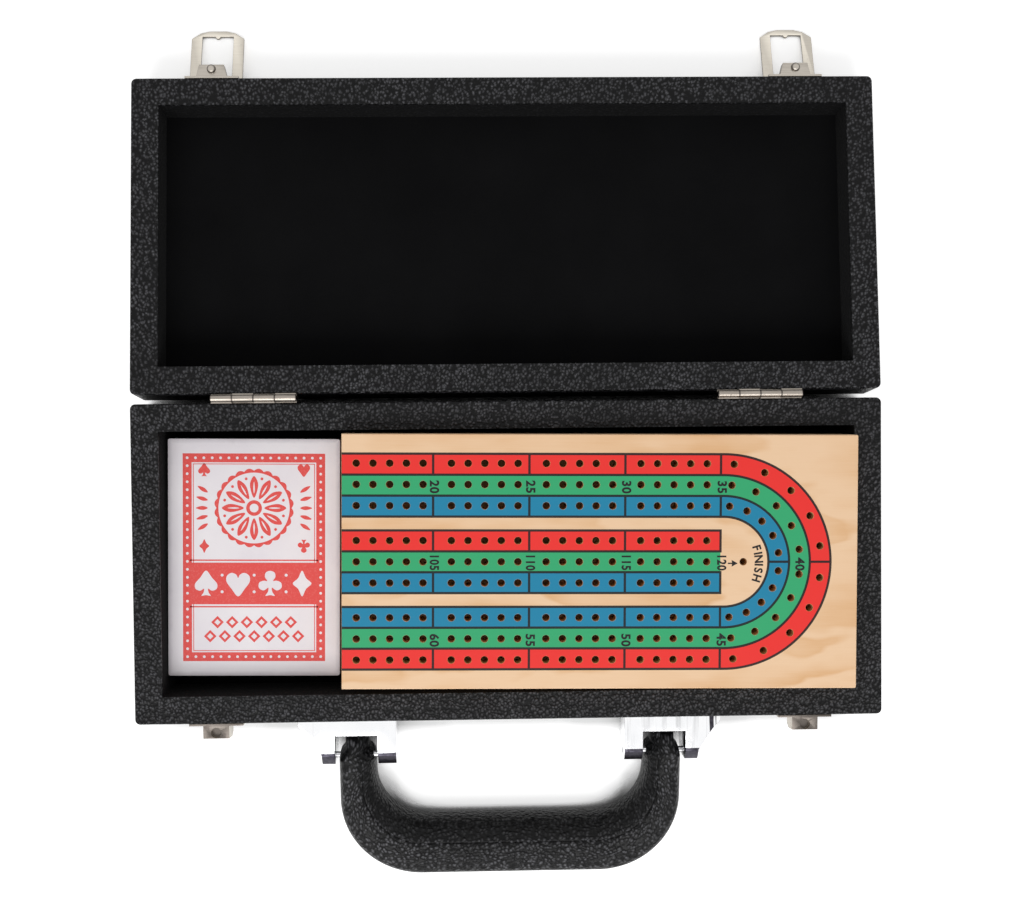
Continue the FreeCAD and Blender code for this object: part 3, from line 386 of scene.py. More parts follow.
def turned(name, profile, sides=24, cross=0.0):
    """A turned shape along Z from pairs (radius, height), with a cross cut into its top."""
    work = bmesh.new()
    rings = [[work.verts.new((*polar(radius, math.tau * i / sides), height))
              for i in range(sides)] for radius, height in profile]
    for low_ring, high_ring in zip(rings, rings[1:]):
        for i in range(sides):
            k = (i + 1) % sides
            work.faces.new((low_ring[i], low_ring[k], high_ring[k], high_ring[i])).smooth = True
    work.faces.new(rings[0][::-1])
    if cross:
        arm, top = cross * 0.26, profile[-1][1]
        quarter = [(cross, -arm), (cross, arm), (arm, arm)]
        plus = [Matrix.Rotation(math.pi / 2 * k, 3, "Z") @ Vector((x, y, 0))
                for k in range(4) for x, y in quarter]
        upper = [work.verts.new((place.x, place.y, top)) for place in plus]
        lower = [work.verts.new((place.x * 0.6, place.y * 0.6, top - cross)) for place in plus]
        edges = []
        for ring in (rings[-1], upper):
            for start, end in zip(ring, ring[1:] + ring[:1]):
                edges.append(work.edges.get((start, end)) or work.edges.new((start, end)))
        bmesh.ops.triangle_fill(work, use_beauty=True, edges=edges)
        for i in range(12):
            k = (i + 1) % 12
            work.faces.new((upper[i], upper[k], lower[k], lower[i]))
        work.faces.new(lower)
    else:
        work.faces.new(rings[-1])
    work.transform(Matrix.Scale(mm, 4))
    mesh = closed(name, work)
    mesh.set_sharp_from_angle(angle=math.radians(35))
    return bpy.data.objects.new(name, mesh)


def fastener_nodes():
    """Sets a fastener on every point, facing out of it and turned at random about its axis."""
    group = bpy.data.node_groups.new("fasteners in place", "GeometryNodeTree")
    inputs = {}
    for label, kind in (("Points", "Geometry"), ("Fastener", "Object"), ("Most Turn", "Float"),
                        ("Seed", "Int")):
        inputs[label] = group.interface.new_socket(
            label, in_out="INPUT", socket_type=f"NodeSocket{kind}").identifier
    group.interface.new_socket("Fasteners", in_out="OUTPUT", socket_type="NodeSocketGeometry")
    given = group.nodes.new("NodeGroupInput").outputs
    shape = add(group, "GeometryNodeObjectInfo", {"Object": given["Fastener"]})
    out_of = add(group, "GeometryNodeInputNamedAttribute", {"Name": "out_of"},
                 data_type="FLOAT_VECTOR")
    facing = add(group, "FunctionNodeAlignRotationToVector",
                 {"Vector": out_of.outputs["Attribute"]}, axis="Z")
    turn = add(group, "FunctionNodeRandomValue", {3: given["Most Turn"], "Seed": given["Seed"]},
               data_type="FLOAT")
    about = add(group, "ShaderNodeCombineXYZ", {"Z": turn.outputs[1]})
    spin = add(group, "FunctionNodeEulerToRotation", {"Euler": about.outputs[0]})
    placed = add(group, "FunctionNodeRotateRotation",
                 {"Rotation": facing.outputs[0], "Rotate By": spin.outputs[0]},
                 rotation_space="LOCAL")
    copies = add(group, "GeometryNodeInstanceOnPoints",
                 {"Points": given["Points"], "Instance": shape.outputs["Geometry"],
                  "Rotation": placed.outputs[0]})
    real = add(group, "GeometryNodeRealizeInstances", {"Geometry": copies.outputs[0]})
    add(group, "NodeGroupOutput", {"Fasteners": real.outputs[0]})
    return group, inputs


def fastened(name, shape, head_radius, head_height, material, body, seed):
    """Puts the finer fastener where each of a node's own ones is, and hides that node."""
    work = made_whole(nodes[name].data)
    heads = [(face.calc_center_median(), face.normal.copy())
             for face in discs(work, head_radius)]
    work.free()
    mesh = bpy.data.meshes.new(name + "_finished")
    mesh.from_pydata([middle - out * head_height * mm for middle, out in heads], [], [])
    mesh.attributes.new("out_of", "FLOAT_VECTOR", "POINT").data.foreach_set(
        "vector", [value for _, out in heads for value in out])
    piece = linked(name + "_finished", mesh)
    row = piece.modifiers.new("fasteners", "NODES")
    row.node_group = in_place
    for label, value in (("Fastener", shape), ("Most Turn", math.tau), ("Seed", seed)):
        row[inputs_of[label]] = value
    settled(piece)
    piece.data.materials.clear()
    piece.data.materials.append(material)
    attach(piece, body)
    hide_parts(name)


in_place, inputs_of = fastener_nodes()
rivet_head_radius, rivet_head = 1.3, 0.25
rivet = turned("rivet", [(0.55, -5.0), (0.7, -4.85), (0.7, 0.0), (1.24, 0.0), (1.3, 0.05),
                         (1.22, 0.12), (1.0, 0.19), (0.65, 0.235), (0.25, 0.25)])
for seed, (name, body) in enumerate((("base_hinge_rivets", "base"), ("lid_hinge_rivets", "lid"),
                                     ("base_latch_rivets", "base"), ("lid_latch_rivets", "lid"))):
    fastened(name, rivet, rivet_head_radius, rivet_head, nickel, body, seed)


# ------------------------ the handle and its brackets
# Two chromed zinc castings screwed to the front carry steel pins. The handle is a steel strap in
# foam, wrapped in the same leatherette, whose edges meet in a seam a third in from the fingers.

leg_middle, wing_top, arm_dark = 59.15, 24.0, -73.9


def bright_chrome():
    """Polished chrome with hair-fine swirls from wiping, and painted dark reflections on its
    slanted faces, on the arms' ends, on the right bracket's outer wing and in faint streaks on its
    top.
    """
    material, here = finish("polished chrome", metallic=1.0)
    swirl = noise(here, 900.0, 5.0, 0.7)
    cloud = noise(here, 90.0, 3.0)
    up = facing_up(here)
    # Painted dark reflection on faces that slant between flat and upright.
    dark_reflection = up.ramp(0.3, 0.5) * up.ramp(0.88, 0.97, 1.0, 0.0)
    across, out, level = axes(here)
    reflection_streaks = noise(stretched(here, 420.0, 24.0, 24.0), 1.0, 3.0, 0.6)
    wing = level.below(wing_top * mm) * across.above(leg_middle * mm)
    right_side = across.ramp(-0.02, 0.04)
    # More painted dark reflections: streaks on the right bracket's outer wing, the arms' ends, and
    # faint streaks on the right bracket's top.
    dark_reflection = either(dark_reflection, wing * reflection_streaks.ramp(0.46, 0.54), out.below(arm_dark * mm) * up.above(0.3),
                  reflection_streaks.ramp(0.5, 0.75, 0.0, 0.35) * up.above(0.9) * right_side)
    bright = mixed(cloud.ramp(0.3, 0.7), shade(246, 247, 249), shade(253, 253, 254))
    # The dark tone of the painted reflections.
    dark_reflected_tone = mixed(swirl.ramp(0.35, 0.65), shade(40, 38, 46), shade(78, 76, 84))
    return finished(material, mixed(dark_reflection, bright, dark_reflected_tone),
                    swirl.ramp(0.3, 0.75, 0.05, 0.16) + dark_reflection * 0.12,
                    cloud * 0.7 + swirl * 0.3, 0.03 * mm)


chrome = bright_chrome()
for side in ("left", "right"):
    softened(f"{side}_handle_bracket", 0.45 * mm, chrome, "base", 3)


def plain_steel():
    material, here = finish("bright steel", metallic=1.0)
    marks = noise(here, 700.0, 4.0, 0.6)
    colour = mixed(marks.ramp(0.35, 0.65), shade(168, 168, 170), shade(196, 196, 198))
    return finished(material, colour, marks.ramp(0.3, 0.7, 0.22, 0.42), marks, 0.02 * mm)


steel = plain_steel()
dress(steel, "handle_core", "left_handle_pin", "right_handle_pin")
screw_head_radius, screw_head = 2.3, 1.6
screw = turned("pan_head_screw", [(0.5, -6.0), (1.3, -5.0), (1.3, 0.0), (2.2, 0.0), (2.3, 0.1),
                                  (2.3, 0.75), (2.15, 1.2), (1.8, 1.5), (1.4, 1.6)], 28, 1.05)
fastened("bracket_screws", screw, screw_head_radius, screw_head, steel, "base", 5)

handle_reach, grip_width, leg_width = 49.2, 21.8, 14.3
leg_tip, grip_half = 8.0, 8.3
outer_bend, inner_bend = 31.5, 20.0
tip_narrowing, shoulder_start, tip_shoulder = 2.6, -2.8, 4.4
pin_y, pin_z, handle_droop = -76.4, 17.0, math.radians(11.642)
leg_steps, bend_steps, bar_steps, curve_steps = 24, 26, 20, 3
seam_point = 13
section_points = [
    (0.02, -0.82), (0.14, -0.98), (0.5, -1.0), (0.8, -0.95), (0.97, -0.72), (1.0, -0.3),
    (0.995, 0.25), (0.96, 0.62), (0.88, 0.86), (0.74, 0.98), (0.58, 1.0), (0.44, 0.93),
    (0.37, 0.87), (0.35, 0.81), (0.33, 0.82), (0.24, 0.68), (0.12, 0.44), (0.03, 0.05),
    (0.0, -0.4)]


def between(start, end, t):
    return start + (end - start) * t


def handle_stations():
    """Pairs of points (inside, outside) along one half of the handle, seen from above."""
    outer_x, inner_x = leg_middle + leg_width / 2, leg_middle - leg_width / 2
    inner_reach = handle_reach - grip_width
    outer_start, inner_start = handle_reach - outer_bend, inner_reach - inner_bend
    pairs = []
    for step in range(leg_steps):
        t = step / leg_steps
        t = t * t * (3 - 2 * t) * 0.35 + t * 0.65
        inner_y, outer_y = between(-leg_tip, inner_start, t), between(-leg_tip, outer_start, t)
        slant = [min(1.0, max(0.0, 1 - (y - shoulder_start) / tip_shoulder))
                 for y in (inner_y, outer_y)]
        tuck = [tip_narrowing * (1 - math.sqrt(1 - part * part)) for part in slant]
        pairs.append(((inner_x + tuck[0], inner_y), (outer_x - tuck[1], outer_y)))
    for step in range(bend_steps):
        turn = math.pi / 2 * step / bend_steps
        across, along = math.cos(turn), math.sin(turn)
        pairs.append(((inner_x - inner_bend * (1 - across), inner_start + inner_bend * along),
                      (outer_x - outer_bend * (1 - across), outer_start + outer_bend * along)))
    for step in range(bar_steps + 1):
        t = step / bar_steps
        pairs.append((((inner_x - inner_bend) * (1 - t), inner_reach),
                      ((outer_x - outer_bend) * (1 - t), handle_reach)))
    return pairs


def smooth_loop(points, steps):
    """A rounded closed line through its points."""
    count, line = len(points), []
    for i in range(count):
        before, start, end, after = (Vector(points[(i + k) % count]) for k in (-1, 0, 1, 2))
        for step in range(steps):
            t = step / steps
            line.append(0.5 * (2 * start + (end - before) * t
                               + (2 * before - 5 * start + 4 * end - after) * t ** 2
                               + (3 * start - before - 3 * end + after) * t ** 3))
    return line


def girth(section, width):
    """How far round the section each of its points is, from the seam on."""
    around = [0.0]
    for (a0, u0), (a1, u1) in zip(section, section[1:] + section[:1]):
        around.append(around[-1] + math.hypot((a1 - a0) * width, (u1 - u0) * grip_half))
    return [way - around[seam_point * curve_steps] for way in around]


def handle_grip():
    """Lofts the wrapped handle and lays its grain along it."""
    half = handle_stations()
    pairs = [((-a[0], a[1]), (-b[0], b[1])) for a, b in half] + half[-2::-1]
    section = smooth_loop(section_points, curve_steps)
    work = bmesh.new()
    layer = work.loops.layers.uv.new("along")
    rings, along, around, previous = [], [], [], None
    for inside, outside in pairs:
        middle = Vector(((inside[0] + outside[0]) / 2, (inside[1] + outside[1]) / 2))
        along.append(0.0 if previous is None else along[-1] + (middle - previous).length)
        previous = middle
        around.append(girth(section, math.dist(inside, outside)))
        ring = []
        for across, up in section:
            x = between(inside[0], outside[0], across)
            y = between(inside[1], outside[1], across)
            tip = min(1.0, max(0.03, (leg_tip + y) / leg_tip))
            height = grip_half * up * math.sqrt(1 - (1 - tip) ** 2)
            ring.append(work.verts.new((x, -y, height)))
        rings.append(ring)
    count = len(section)
    for j in range(len(rings) - 1):
        for i in range(count):
            k = (i + 1) % count
            face = work.faces.new((rings[j][i], rings[j][k], rings[j + 1][k], rings[j + 1][i]))
            face.smooth = True
            corners = ((j, i), (j, i + 1), (j + 1, i + 1), (j + 1, i))
            for loop, (row, column) in zip(face.loops, corners):
                loop[layer].uv = (along[row], around[row][column])
    for ring in (rings[0], rings[-1]):
        bmesh.ops.contextual_create(work, geom=ring)
    bmesh.ops.remove_doubles(work, verts=work.verts, dist=1e-4)
    work.transform(Matrix.Translation((0, pin_y * mm, pin_z * mm))
                   @ Matrix.Rotation(handle_droop, 4, "X") @ Matrix.Scale(mm, 4))
    return linked("handle_wrap", closed("handle_wrap", work))


def along_the_handle(tree):
    """Metres along and round the handle, where the pebbles are a little longer than wide."""
    uv = add(tree, "UVMap", {}, uv_map="along")
    return stretched(uv.outputs["UV"], 0.85 * mm, mm, mm)


wrap = handle_grip()
wrap.data.materials.append(leatherette("handle leatherette", 1.35 * mm, 9, 112, 0.48,
                                       along_the_handle))
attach(wrap, "handle")
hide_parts("handle_grip")


# ------------------------ the folding board
# Two blocks of clear pine, hinged end to end and folded back to back. Three tracks are screen
# printed on each playing face in red, green and blue with black rules, and drilled afterwards.

board_corner, board_turn = (-63.30, -46.44), math.radians(0.7)
board_length, board_width = 193.0, 95.25
board_top, board_low = 42.4, 6.0
middle_row, track_spacing, row_pitch = board_width / 2, 28.8, 7.9
band_spacing, band_width, half_rule = 28.55, 7.8, 0.45
bend_centre, rule_pitch, first_rule = 142.6, 35.8, 34.0
last_rule = first_rule + 3 * rule_pitch
hole_radius, hole_depth = 1.4, 10.0
first_hole, hole_pitch, group_pitch, group_holes = 5.46, 6.2, 35.33, 5
bend_hole_turn = math.radians(18.7)
small_bend_middle, small_bend = track_spacing / 2, 107.66
mirror_hole, small_bend_turn = 4.77, math.radians(36.0)
heart_across, heart_up, ring_pitch, ring_waver = 74.0, -95.0, 9.5, 34.0
red, green, blue = shade(236, 46, 44), shade(42, 166, 110), shade(0, 128, 166)
black = shade(20, 20, 22)
ink_cover, rule_cover = 0.985, 0.97


def from_corner(here, corner, turn):
    """Millimetres along, across and up from a corner, for a piece that lies at an angle."""
    away = Matrix.Rotation(turn, 3, "Z") @ Vector((*corner, 0.0))
    placed = add(here.id_data, "Mapping", {"Vector": here, "Scale": (1 / mm,) * 3,
                                           "Rotation": (0, 0, turn), "Location": tuple(-away)})
    return axes(placed.outputs["Vector"])


def tilt(degrees, axis="Z"):
    return Matrix.Rotation(math.radians(degrees), 4, axis)


def at_corner(corner, turn, level, along, across):
    """A place counted in millimetres from such a corner, at a height."""
    return (Matrix.Scale(mm, 4) @ Matrix.Translation((*corner, level))
            @ Matrix.Rotation(-turn, 4, "Z") @ Matrix.Translation((along, across, 0.0)))


def vector(x, y, z):
    return add(x.tree, "CombineXYZ", {"X": x, "Y": y, "Z": z}).outputs[0]


def pine_wood(u, v, z):
    """Flat-sawn pine: its colour and its fibres. Late wood wavers along pale early wood."""
    place = vector(u * 0.016, v * 0.042, z * 0.042)
    waver = noise(place, 1.0, 3.0, 0.5)
    patch = noise(place, 1.7, 1.0)
    ring = length(v - heart_across, z - heart_up) + waver * ring_waver + u * 0.045
    band = (ring * (1 / ring_pitch)).fraction()
    late = (band.ramp(0.2, 0.86) * band.ramp(0.86, 1.0, 1.0, 0.0)
            * patch.ramp(0.35, 0.65, 0.35, 1.15))
    fibre = noise(vector(u * 0.07, v * 2.2, z * 2.2), 1.0, 5.0, 0.65)
    pale = mixed(fibre.ramp(0.2, 0.8), shade(239, 204, 168), shade(236, 199, 161))
    wood = mixed(late * fibre.ramp(0.2, 0.8, 0.5, 0.7), pale, shade(217, 165, 110))
    return wood, fibre


def row_of(out):
    """The row of holes nearest to a distance from the middle row of a track."""
    return (out * (1 / row_pitch)).at_least(-1.0).at_most(1.0).rounded() * row_pitch


def nearest_hole(u, v, upper):
    """How far a point of the playing face is from the middle of the nearest hole."""
    w = v - middle_row
    slack = (group_pitch - (group_holes - 1) * hole_pitch) / 2
    start = first_hole if upper else mirror_hole
    along = ((u - start + slack) * (1 / group_pitch)).fraction() * group_pitch - slack
    place = (along * (1 / hole_pitch)).at_least(0.0).at_most(group_holes - 1.0)
    along = along - place.rounded() * hole_pitch
    out = w.size() - w.size().above(track_spacing / 2) * track_spacing
    straight = length(along, out - row_of(out))
    centre, turn = (bend_centre, bend_hole_turn) if upper else (small_bend, small_bend_turn)
    middle = track_spacing if upper else small_bend_middle
    level = w if upper else w + small_bend_middle
    past = u - centre
    r, angle = length(past, level), level.math("ARCTAN2", past)
    if upper:
        swing = (angle.size() * (1 / turn)).fraction() - 0.5
    else:
        swing = (angle * (1 / turn) + 0.5).fraction() - 0.5
    bent = length(swing * turn * r, r - middle - row_of(r - middle))
    on_bend = past.above(-1.5 if upper else 1.0)
    if not upper:
        on_bend = on_bend * level.size().below(middle + 1.5 * row_pitch)
    return straight + (bent - straight) * on_bend


def three_inks(wood, tracks):
    """Blue, green and red beside each other, on bands that `tracks` counts from -1 to 1."""
    colour = wood
    for ink, level in ((blue, -1), (green, 0), (red, 1)):
        bands = either(*[(rank - level).size().below(0.5) * there for rank, there in tracks])
        colour = mixed(bands * ink_cover, colour, ink)
    return colour


def outlines(rank):
    """The four black lines along three tracks."""
    thin = half_rule / band_width
    return either((rank.size() - 0.5).size().below(thin), (rank.size() - 1.5).size().below(thin))


def cross_rules(u, first, last, *ranks):
    """The black lines across the outer tracks, one before each five holes."""
    cell = ((u - first) * (1 / rule_pitch) + 0.5).fraction() * rule_pitch
    at_rule = (cell - rule_pitch / 2).size().below(half_rule) * u.below(last)
    return at_rule * either(*[rank.size().between(0.5, 1.5) for rank in ranks])


def upper_ink(wood, u, v):
    """Three tracks up one side, round the end and back, and the last ones up the middle."""
    w = v - middle_row
    past = (u - bend_centre).at_least(0.0)
    rank = (length(past, w) - band_spacing) * (1 / band_width)
    middle = w * (1 / band_width)
    before_end = u.below(last_rule)
    colour = three_inks(wood, ((rank, 1.0), (middle, before_end)))
    turn_rule = w.size().below(half_rule) * u.above(bend_centre) * rank.size().between(0.5, 1.5)
    rules = either(outlines(rank), outlines(middle) * u.below(last_rule + half_rule),
                   cross_rules(u, first_rule, last_rule + 2.0, rank, middle), turn_rule)
    inked = either(rank.size().below(1.5), middle.size().below(1.5) * before_end, rules)
    return mixed(rules * rule_cover, colour, black), inked


def lower_ink(wood, u, v):
    """The start of the tracks, and the small bend that brings them back up the middle."""
    w = v - middle_row
    top = (w - band_spacing) * (1 / band_width)
    level = w + band_spacing / 2
    past = (u - small_bend).at_least(0.0)
    turning = (length(past, level) - band_spacing / 2) * (1 / band_width)
    track_end = small_bend + 3 * hole_pitch
    on_top = u.below(track_end)
    colour = three_inks(wood, ((top, on_top), (turning, 1.0)))
    end = (u - track_end).size().below(half_rule) * top.size().below(1.5)
    rules = either(outlines(top) * u.below(track_end + half_rule), outlines(turning),
                   cross_rules(u, rule_pitch - first_rule, small_bend + 3.0, top, turning), end)
    inked = either(top.size().below(1.5) * on_top, turning.size().below(1.5), rules)
    return mixed(rules * rule_cover, colour, black), inked


def board_finish(name, upper):
    """Printed pine; the mouths of the holes are scuffed and their walls are raw wood."""
    material, here = finish(name, specular=0.25)
    u, v, z = from_corner(here, board_corner, board_turn)
    wood, fibre = pine_wood(u, v, z)
    facing = facing_up(here)
    depth = (z * -1.0 + board_top) if upper else (z - board_low)
    face = (facing.above(0.6) if upper else facing.below(-0.6)) * depth.below(0.6)
    printed, inked = (upper_ink if upper else lower_ink)(wood, u, v)
    from_hole = nearest_hole(u, v, upper)
    ragged = noise(here, 1900.0, 2.0)
    mouth = (from_hole + ragged * 0.5).ramp(hole_radius + 0.16, hole_radius + 0.42, 0.6, 0.0)
    printed = mixed(mouth * inked, printed, shade(206, 160, 110))
    colour = mixed(face, wood, printed)
    inside = u.between(1.0, board_length - 1.0) * v.between(1.0, board_width - 1.0)
    bored = inside * depth.between(0.05, hole_depth + 0.6)
    splintered = noise(here, 1300.0, 3.0, 0.7)
    raw = mixed(splintered.ramp(0.35, 0.65), shade(200, 156, 108), shade(226, 190, 142))
    return finished(material, mixed(bored, colour, raw),
                    fibre.ramp(0.3, 0.7, 0.42, 0.6) - inked * face * 0.12,
                    fibre * 0.5 + inked * face * (mouth * -1.0 + 1.0) * 0.3, 0.06 * mm)


dress(board_finish("printed pine, upper half", True), "board_upper_half")
dress(board_finish("printed pine, lower half", False), "board_lower_half")


def printing_ink(name, ink, patchy):
    """Ink that lies a few hundredths on the surface, mottled where it took unevenly."""
    material, here = finish(name, specular=0.25)
    speck = noise(here, 1500.0, 4.0, 0.6)
    return finished(material, mixed(speck.ramp(0.5, 0.8, 0.0, 0.6), ink, patchy),
                    speck.ramp(0.3, 0.7, 0.32, 0.5), speck, 0.02 * mm)


def stamped(name, shapes, material, body):
    """Flat printed shapes, each a curve or a lettering and its place, as one thin mesh."""
    work = bmesh.new()
    for shape, place in shapes:
        shape.extrude = ink_thickness / 2
        holder = linked(name, shape)
        flat = evaluated(holder)
        bpy.data.objects.remove(holder)
        flat.transform(place @ Matrix.Translation((0, 0, ink_thickness / 2)))
        work.from_mesh(flat)
    bmesh.ops.remove_doubles(work, verts=work.verts, dist=1e-7)
    piece = linked(name, closed(name, work))
    piece.data.materials.append(material)
    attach(piece, body)


def lettering(text, height, squeeze, place):
    """Stencilled figures centred on a place, made narrower or wider there."""
    letters = bpy.data.curves.new(text, "FONT")
    letters.body, letters.size = text, height / 0.72
    letters.align_x, letters.align_y = "CENTER", "CENTER"
    letters.offset = 0.045 * height
    letters.space_character = 1.08
    letters.resolution_u = 4
    return letters, place @ Matrix.Diagonal((squeeze, 1.0, 1.0, 1.0))


def drawing(*outlines):
    """A flat shape from closed outlines; one inside another is a hole."""
    curve = bpy.data.curves.new("outline", "CURVE")
    curve.dimensions, curve.fill_mode = "2D", "BOTH"
    for outline in outlines:
        line = curve.splines.new("POLY")
        line.points.add(len(outline) - 1)
        for point, (x, y) in zip(line.points, outline):
            point.co = (x, y, 0.0, 1.0)
        line.use_cyclic_u = True
    return curve


def on_upper_face(u, v, turn):
    """A place on the upper playing face, turned by degrees from reading along the board."""
    return at_corner(board_corner, board_turn, board_top, u, v) @ tilt(turn)


def on_lower_face(u, v, turn):
    """The same on the lower face, which reads from underneath."""
    return (at_corner(board_corner, board_turn, board_low, u, v)
            @ tilt(180, "Y") @ tilt(turn))


figure_height, word_height, word_radius, word_middle = 3.35, 3.1, 20.0, 13.1
arrow_tail, ink_thickness = 144.2, 0.035
black_ink = printing_ink("black ink", black, shade(48, 46, 44))


def figure(text, place):
    """A number of a track; three figures stand closer than two."""
    return lettering(text, figure_height, 0.85 if len(text) > 2 else 1.0, place)


upper_marks = [
    figure(str(number), on_upper_face(first_rule + 0.3 + i * rule_pitch, middle_row + across, -90))
    for i in range(4) for number, across in (
        (20 + 5 * i, band_spacing - 0.6), (105 + 5 * i, -0.15), (60 - 5 * i, -band_spacing - 0.8))]
upper_marks.append(figure("40", on_upper_face(bend_centre + band_spacing, middle_row - 0.9, -90)))
for letter, turn in zip("FINISH", (16.6, 10.5, 4.3, -1.8, -7.7, -16.3)):
    angle = math.radians(turn)
    upper_marks.append(lettering(letter, word_height, 0.95, on_upper_face(
        bend_centre + word_middle + word_radius * (math.cos(angle) - 1.0),
        middle_row - 0.5 + word_radius * math.sin(angle), turn - 90)))
arrow = drawing([(0.0, -0.24), (1.6, -0.24), (1.4, -1.25), (3.7, 0.0), (1.4, 1.25), (1.6, 0.24),
                 (0.0, 0.24)])
upper_marks.append((arrow, on_upper_face(arrow_tail, middle_row - 0.6, 0)))
stamped("track_figures_upper", upper_marks, black_ink, "board_upper")

lower_marks = []
for i in range(1, 4):
    u = i * rule_pitch + rule_pitch - first_rule - 0.3
    lower_marks += [
        figure(str(15 - 5 * i) if i < 3 else "START",
               on_lower_face(u, middle_row + band_spacing + 0.4, -90 if i < 3 else 180)),
        figure(str(100 - 5 * i), on_lower_face(u, middle_row + 0.4, -90)),
        figure(str(65 + 5 * i), on_lower_face(u, middle_row - band_spacing + 0.4, -90))]
stamped("track_figures_lower", lower_marks, black_ink, "board_lower")


# ------------------------ the board's hinges and pegs
# Four small brass leaves with steel screws are let into the backs of the two halves. Nine turned
# plastic pegs, three of each colour, lie in a well between them.

def soft_brass():
    material, here = finish("brass plate", metallic=1.0)
    tarnish = noise(here, 260.0, 4.0, 0.6)
    rubbed = noise(here, 2200.0, 3.0)
    colour = mixed(tarnish.ramp(0.35, 0.7), shade(226, 190, 112), shade(178, 140, 74))
    return finished(material, colour, rubbed.ramp(0.3, 0.7, 0.22, 0.4), rubbed, 0.02 * mm)


def peg_plastic(name, pale, deep):
    """Moulded plastic with faint flow marks and a fine scuff."""
    material, here = finish(name, coat=0.2)
    flow = noise(here, 240.0, 3.0, 0.55)
    scuff = noise(here, 2600.0, 4.0, 0.7)
    return finished(material, mixed(flow.ramp(0.3, 0.7), pale, deep),
                    scuff.ramp(0.3, 0.75, 0.22, 0.42), scuff * 0.5 + flow * 0.5, 0.02 * mm)


dress(soft_brass(), "fold_lower_screws", "fold_upper_screws",
      *[f"{end}_fold_{part}" for end in ("front", "rear")
        for part in ("lower_leaf", "upper_leaf", "pin")])
dress(peg_plastic("red peg plastic", shade(214, 40, 42), shade(186, 26, 30)), "red_pegs")
dress(peg_plastic("green peg plastic", shade(34, 150, 84), shade(20, 122, 66)), "green_pegs")
dress(peg_plastic("blue peg plastic", shade(22, 92, 170), shade(12, 70, 140)), "blue_pegs")


# ------------------------ the card box
# A tuck box of thin coated carton, printed in one red: a dotted frame, a rosette and a band of
# the four suits. It holds a deck of 54 cards with squared edges.

card_corner, card_turn = (-131.0, -43.8), math.radians(0.78)
card_width, card_length, card_top = 65.5, 91.0, 22.2
card_thickness, flap_drop, flap_edge = 0.27, 2.2, 0.16


def coated_carton():
    """White carton, darkened along its folds by painted shade, with the tuck flap's edge across
    each end.
    """
    material, here = finish("coated carton", specular=0.4, coat=0.15)
    across, along, up = from_corner(here, card_corner, card_turn)
    mottle = noise(here, 55.0, 3.0)
    fine = noise(here, 3000.0, 2.0)
    crease = noise(here, 140.0, 4.0, 0.7)
    border = (across - card_width / 2).size() * -1.0 + card_width / 2
    border = border.at_most((along - card_length / 2).size() * -1.0 + card_length / 2)
    # Painted shade along the folds, wavering with the crease noise.
    fold_shade = (border + crease * 1.6).ramp(0.9, 2.6, 0.75, 0.0)
    flap = (up - (card_top - flap_drop)).size().below(flap_edge) * border.below(0.35)
    white = mixed(mottle.ramp(0.3, 0.7), shade(238, 233, 236), shade(230, 224, 229))
    patchy = mixed(either(fold_shade * 0.55, flap), white, shade(150, 142, 150))
    return finished(material, patchy,
                    fine.ramp(0.3, 0.7, 0.26, 0.42), fine * 0.1 + mottle * 0.5 + crease * 0.4,
                    0.16 * mm)


def cut_cards():
    """The deck's side shows its 54 cards as fine lines."""
    material, here = finish("card stock", specular=0.35)
    line = (axes(here)[2] * (1 / (card_thickness * mm))).fraction().ramp(0.0, 0.25, 1.0, 0.0)
    fibre = noise(here, 1800.0, 3.0)
    colour = mixed(line * fibre.ramp(0.2, 0.8, 0.3, 0.7), shade(240, 238, 232),
                   shade(176, 170, 162))
    return finished(material, colour, fibre.ramp(0.3, 0.7, 0.42, 0.6), line * 0.6 + fibre * 0.4,
                    0.04 * mm)


dress(coated_carton(), "card_box")
dress(cut_cards(), "playing_cards")


def on_card(a, b, turn=0.0, size=1.0):
    """A place on the box's face, from its lower left corner."""
    return (at_corner(card_corner, card_turn, card_top, a, b) @ tilt(turn)
            @ Matrix.Diagonal((size, size, 1, 1)))


def oblong(a0, b0, a1, b1):
    return [(a0, b0), (a1, b0), (a1, b1), (a0, b1)]


def rounded(points, steps=4):
    return [tuple(p) for p in smooth_loop(points, steps)]


def moved(outline, x, y, size=1.0):
    return [(x + px * size, y + py * size) for px, py in outline]


def circle(x, y, radius, steps=20):
    return moved([polar(radius, math.tau * i / steps) for i in range(steps)], x, y)


def suit(*right_half):
    """The rounded outline of a suit, from the right half of it."""
    return rounded([*right_half, *((-x, y) for x, y in right_half[-2:0:-1])])


heart = suit((0, -1.0), (0.5, -0.42), (0.88, 0.12), (0.86, 0.58), (0.5, 0.82), (0.14, 0.68),
             (0, 0.42))
spade = suit((0, 1.0), (0.45, 0.45), (0.84, -0.02), (0.8, -0.42), (0.45, -0.56), (0.16, -0.4),
             (0.2, -0.7), (0.36, -0.95), (0, -0.9))
diamond = suit((0, 1.0), (0.3, 0.42), (0.72, 0), (0.3, -0.42), (0, -1.0))
club = suit((0, 0.98), (0.34, 0.84), (0.4, 0.5), (0.22, 0.2), (0.5, 0.22), (0.84, 0.06),
            (0.86, -0.34), (0.5, -0.54), (0.14, -0.32), (0.18, -0.66), (0.36, -0.95), (0, -0.9))
suits = (spade, heart, club, diamond)
frame_out, frame_in, fine_line = 5.6, 9.0, 9.5
dot_inset, dot_pitch, dot_radius = 7.3, 3.1, 0.55
band_low, band_high, band_lift = 27.5, 43.5, 0.02
field_middle, rosette_radius = 64.5, 15.2


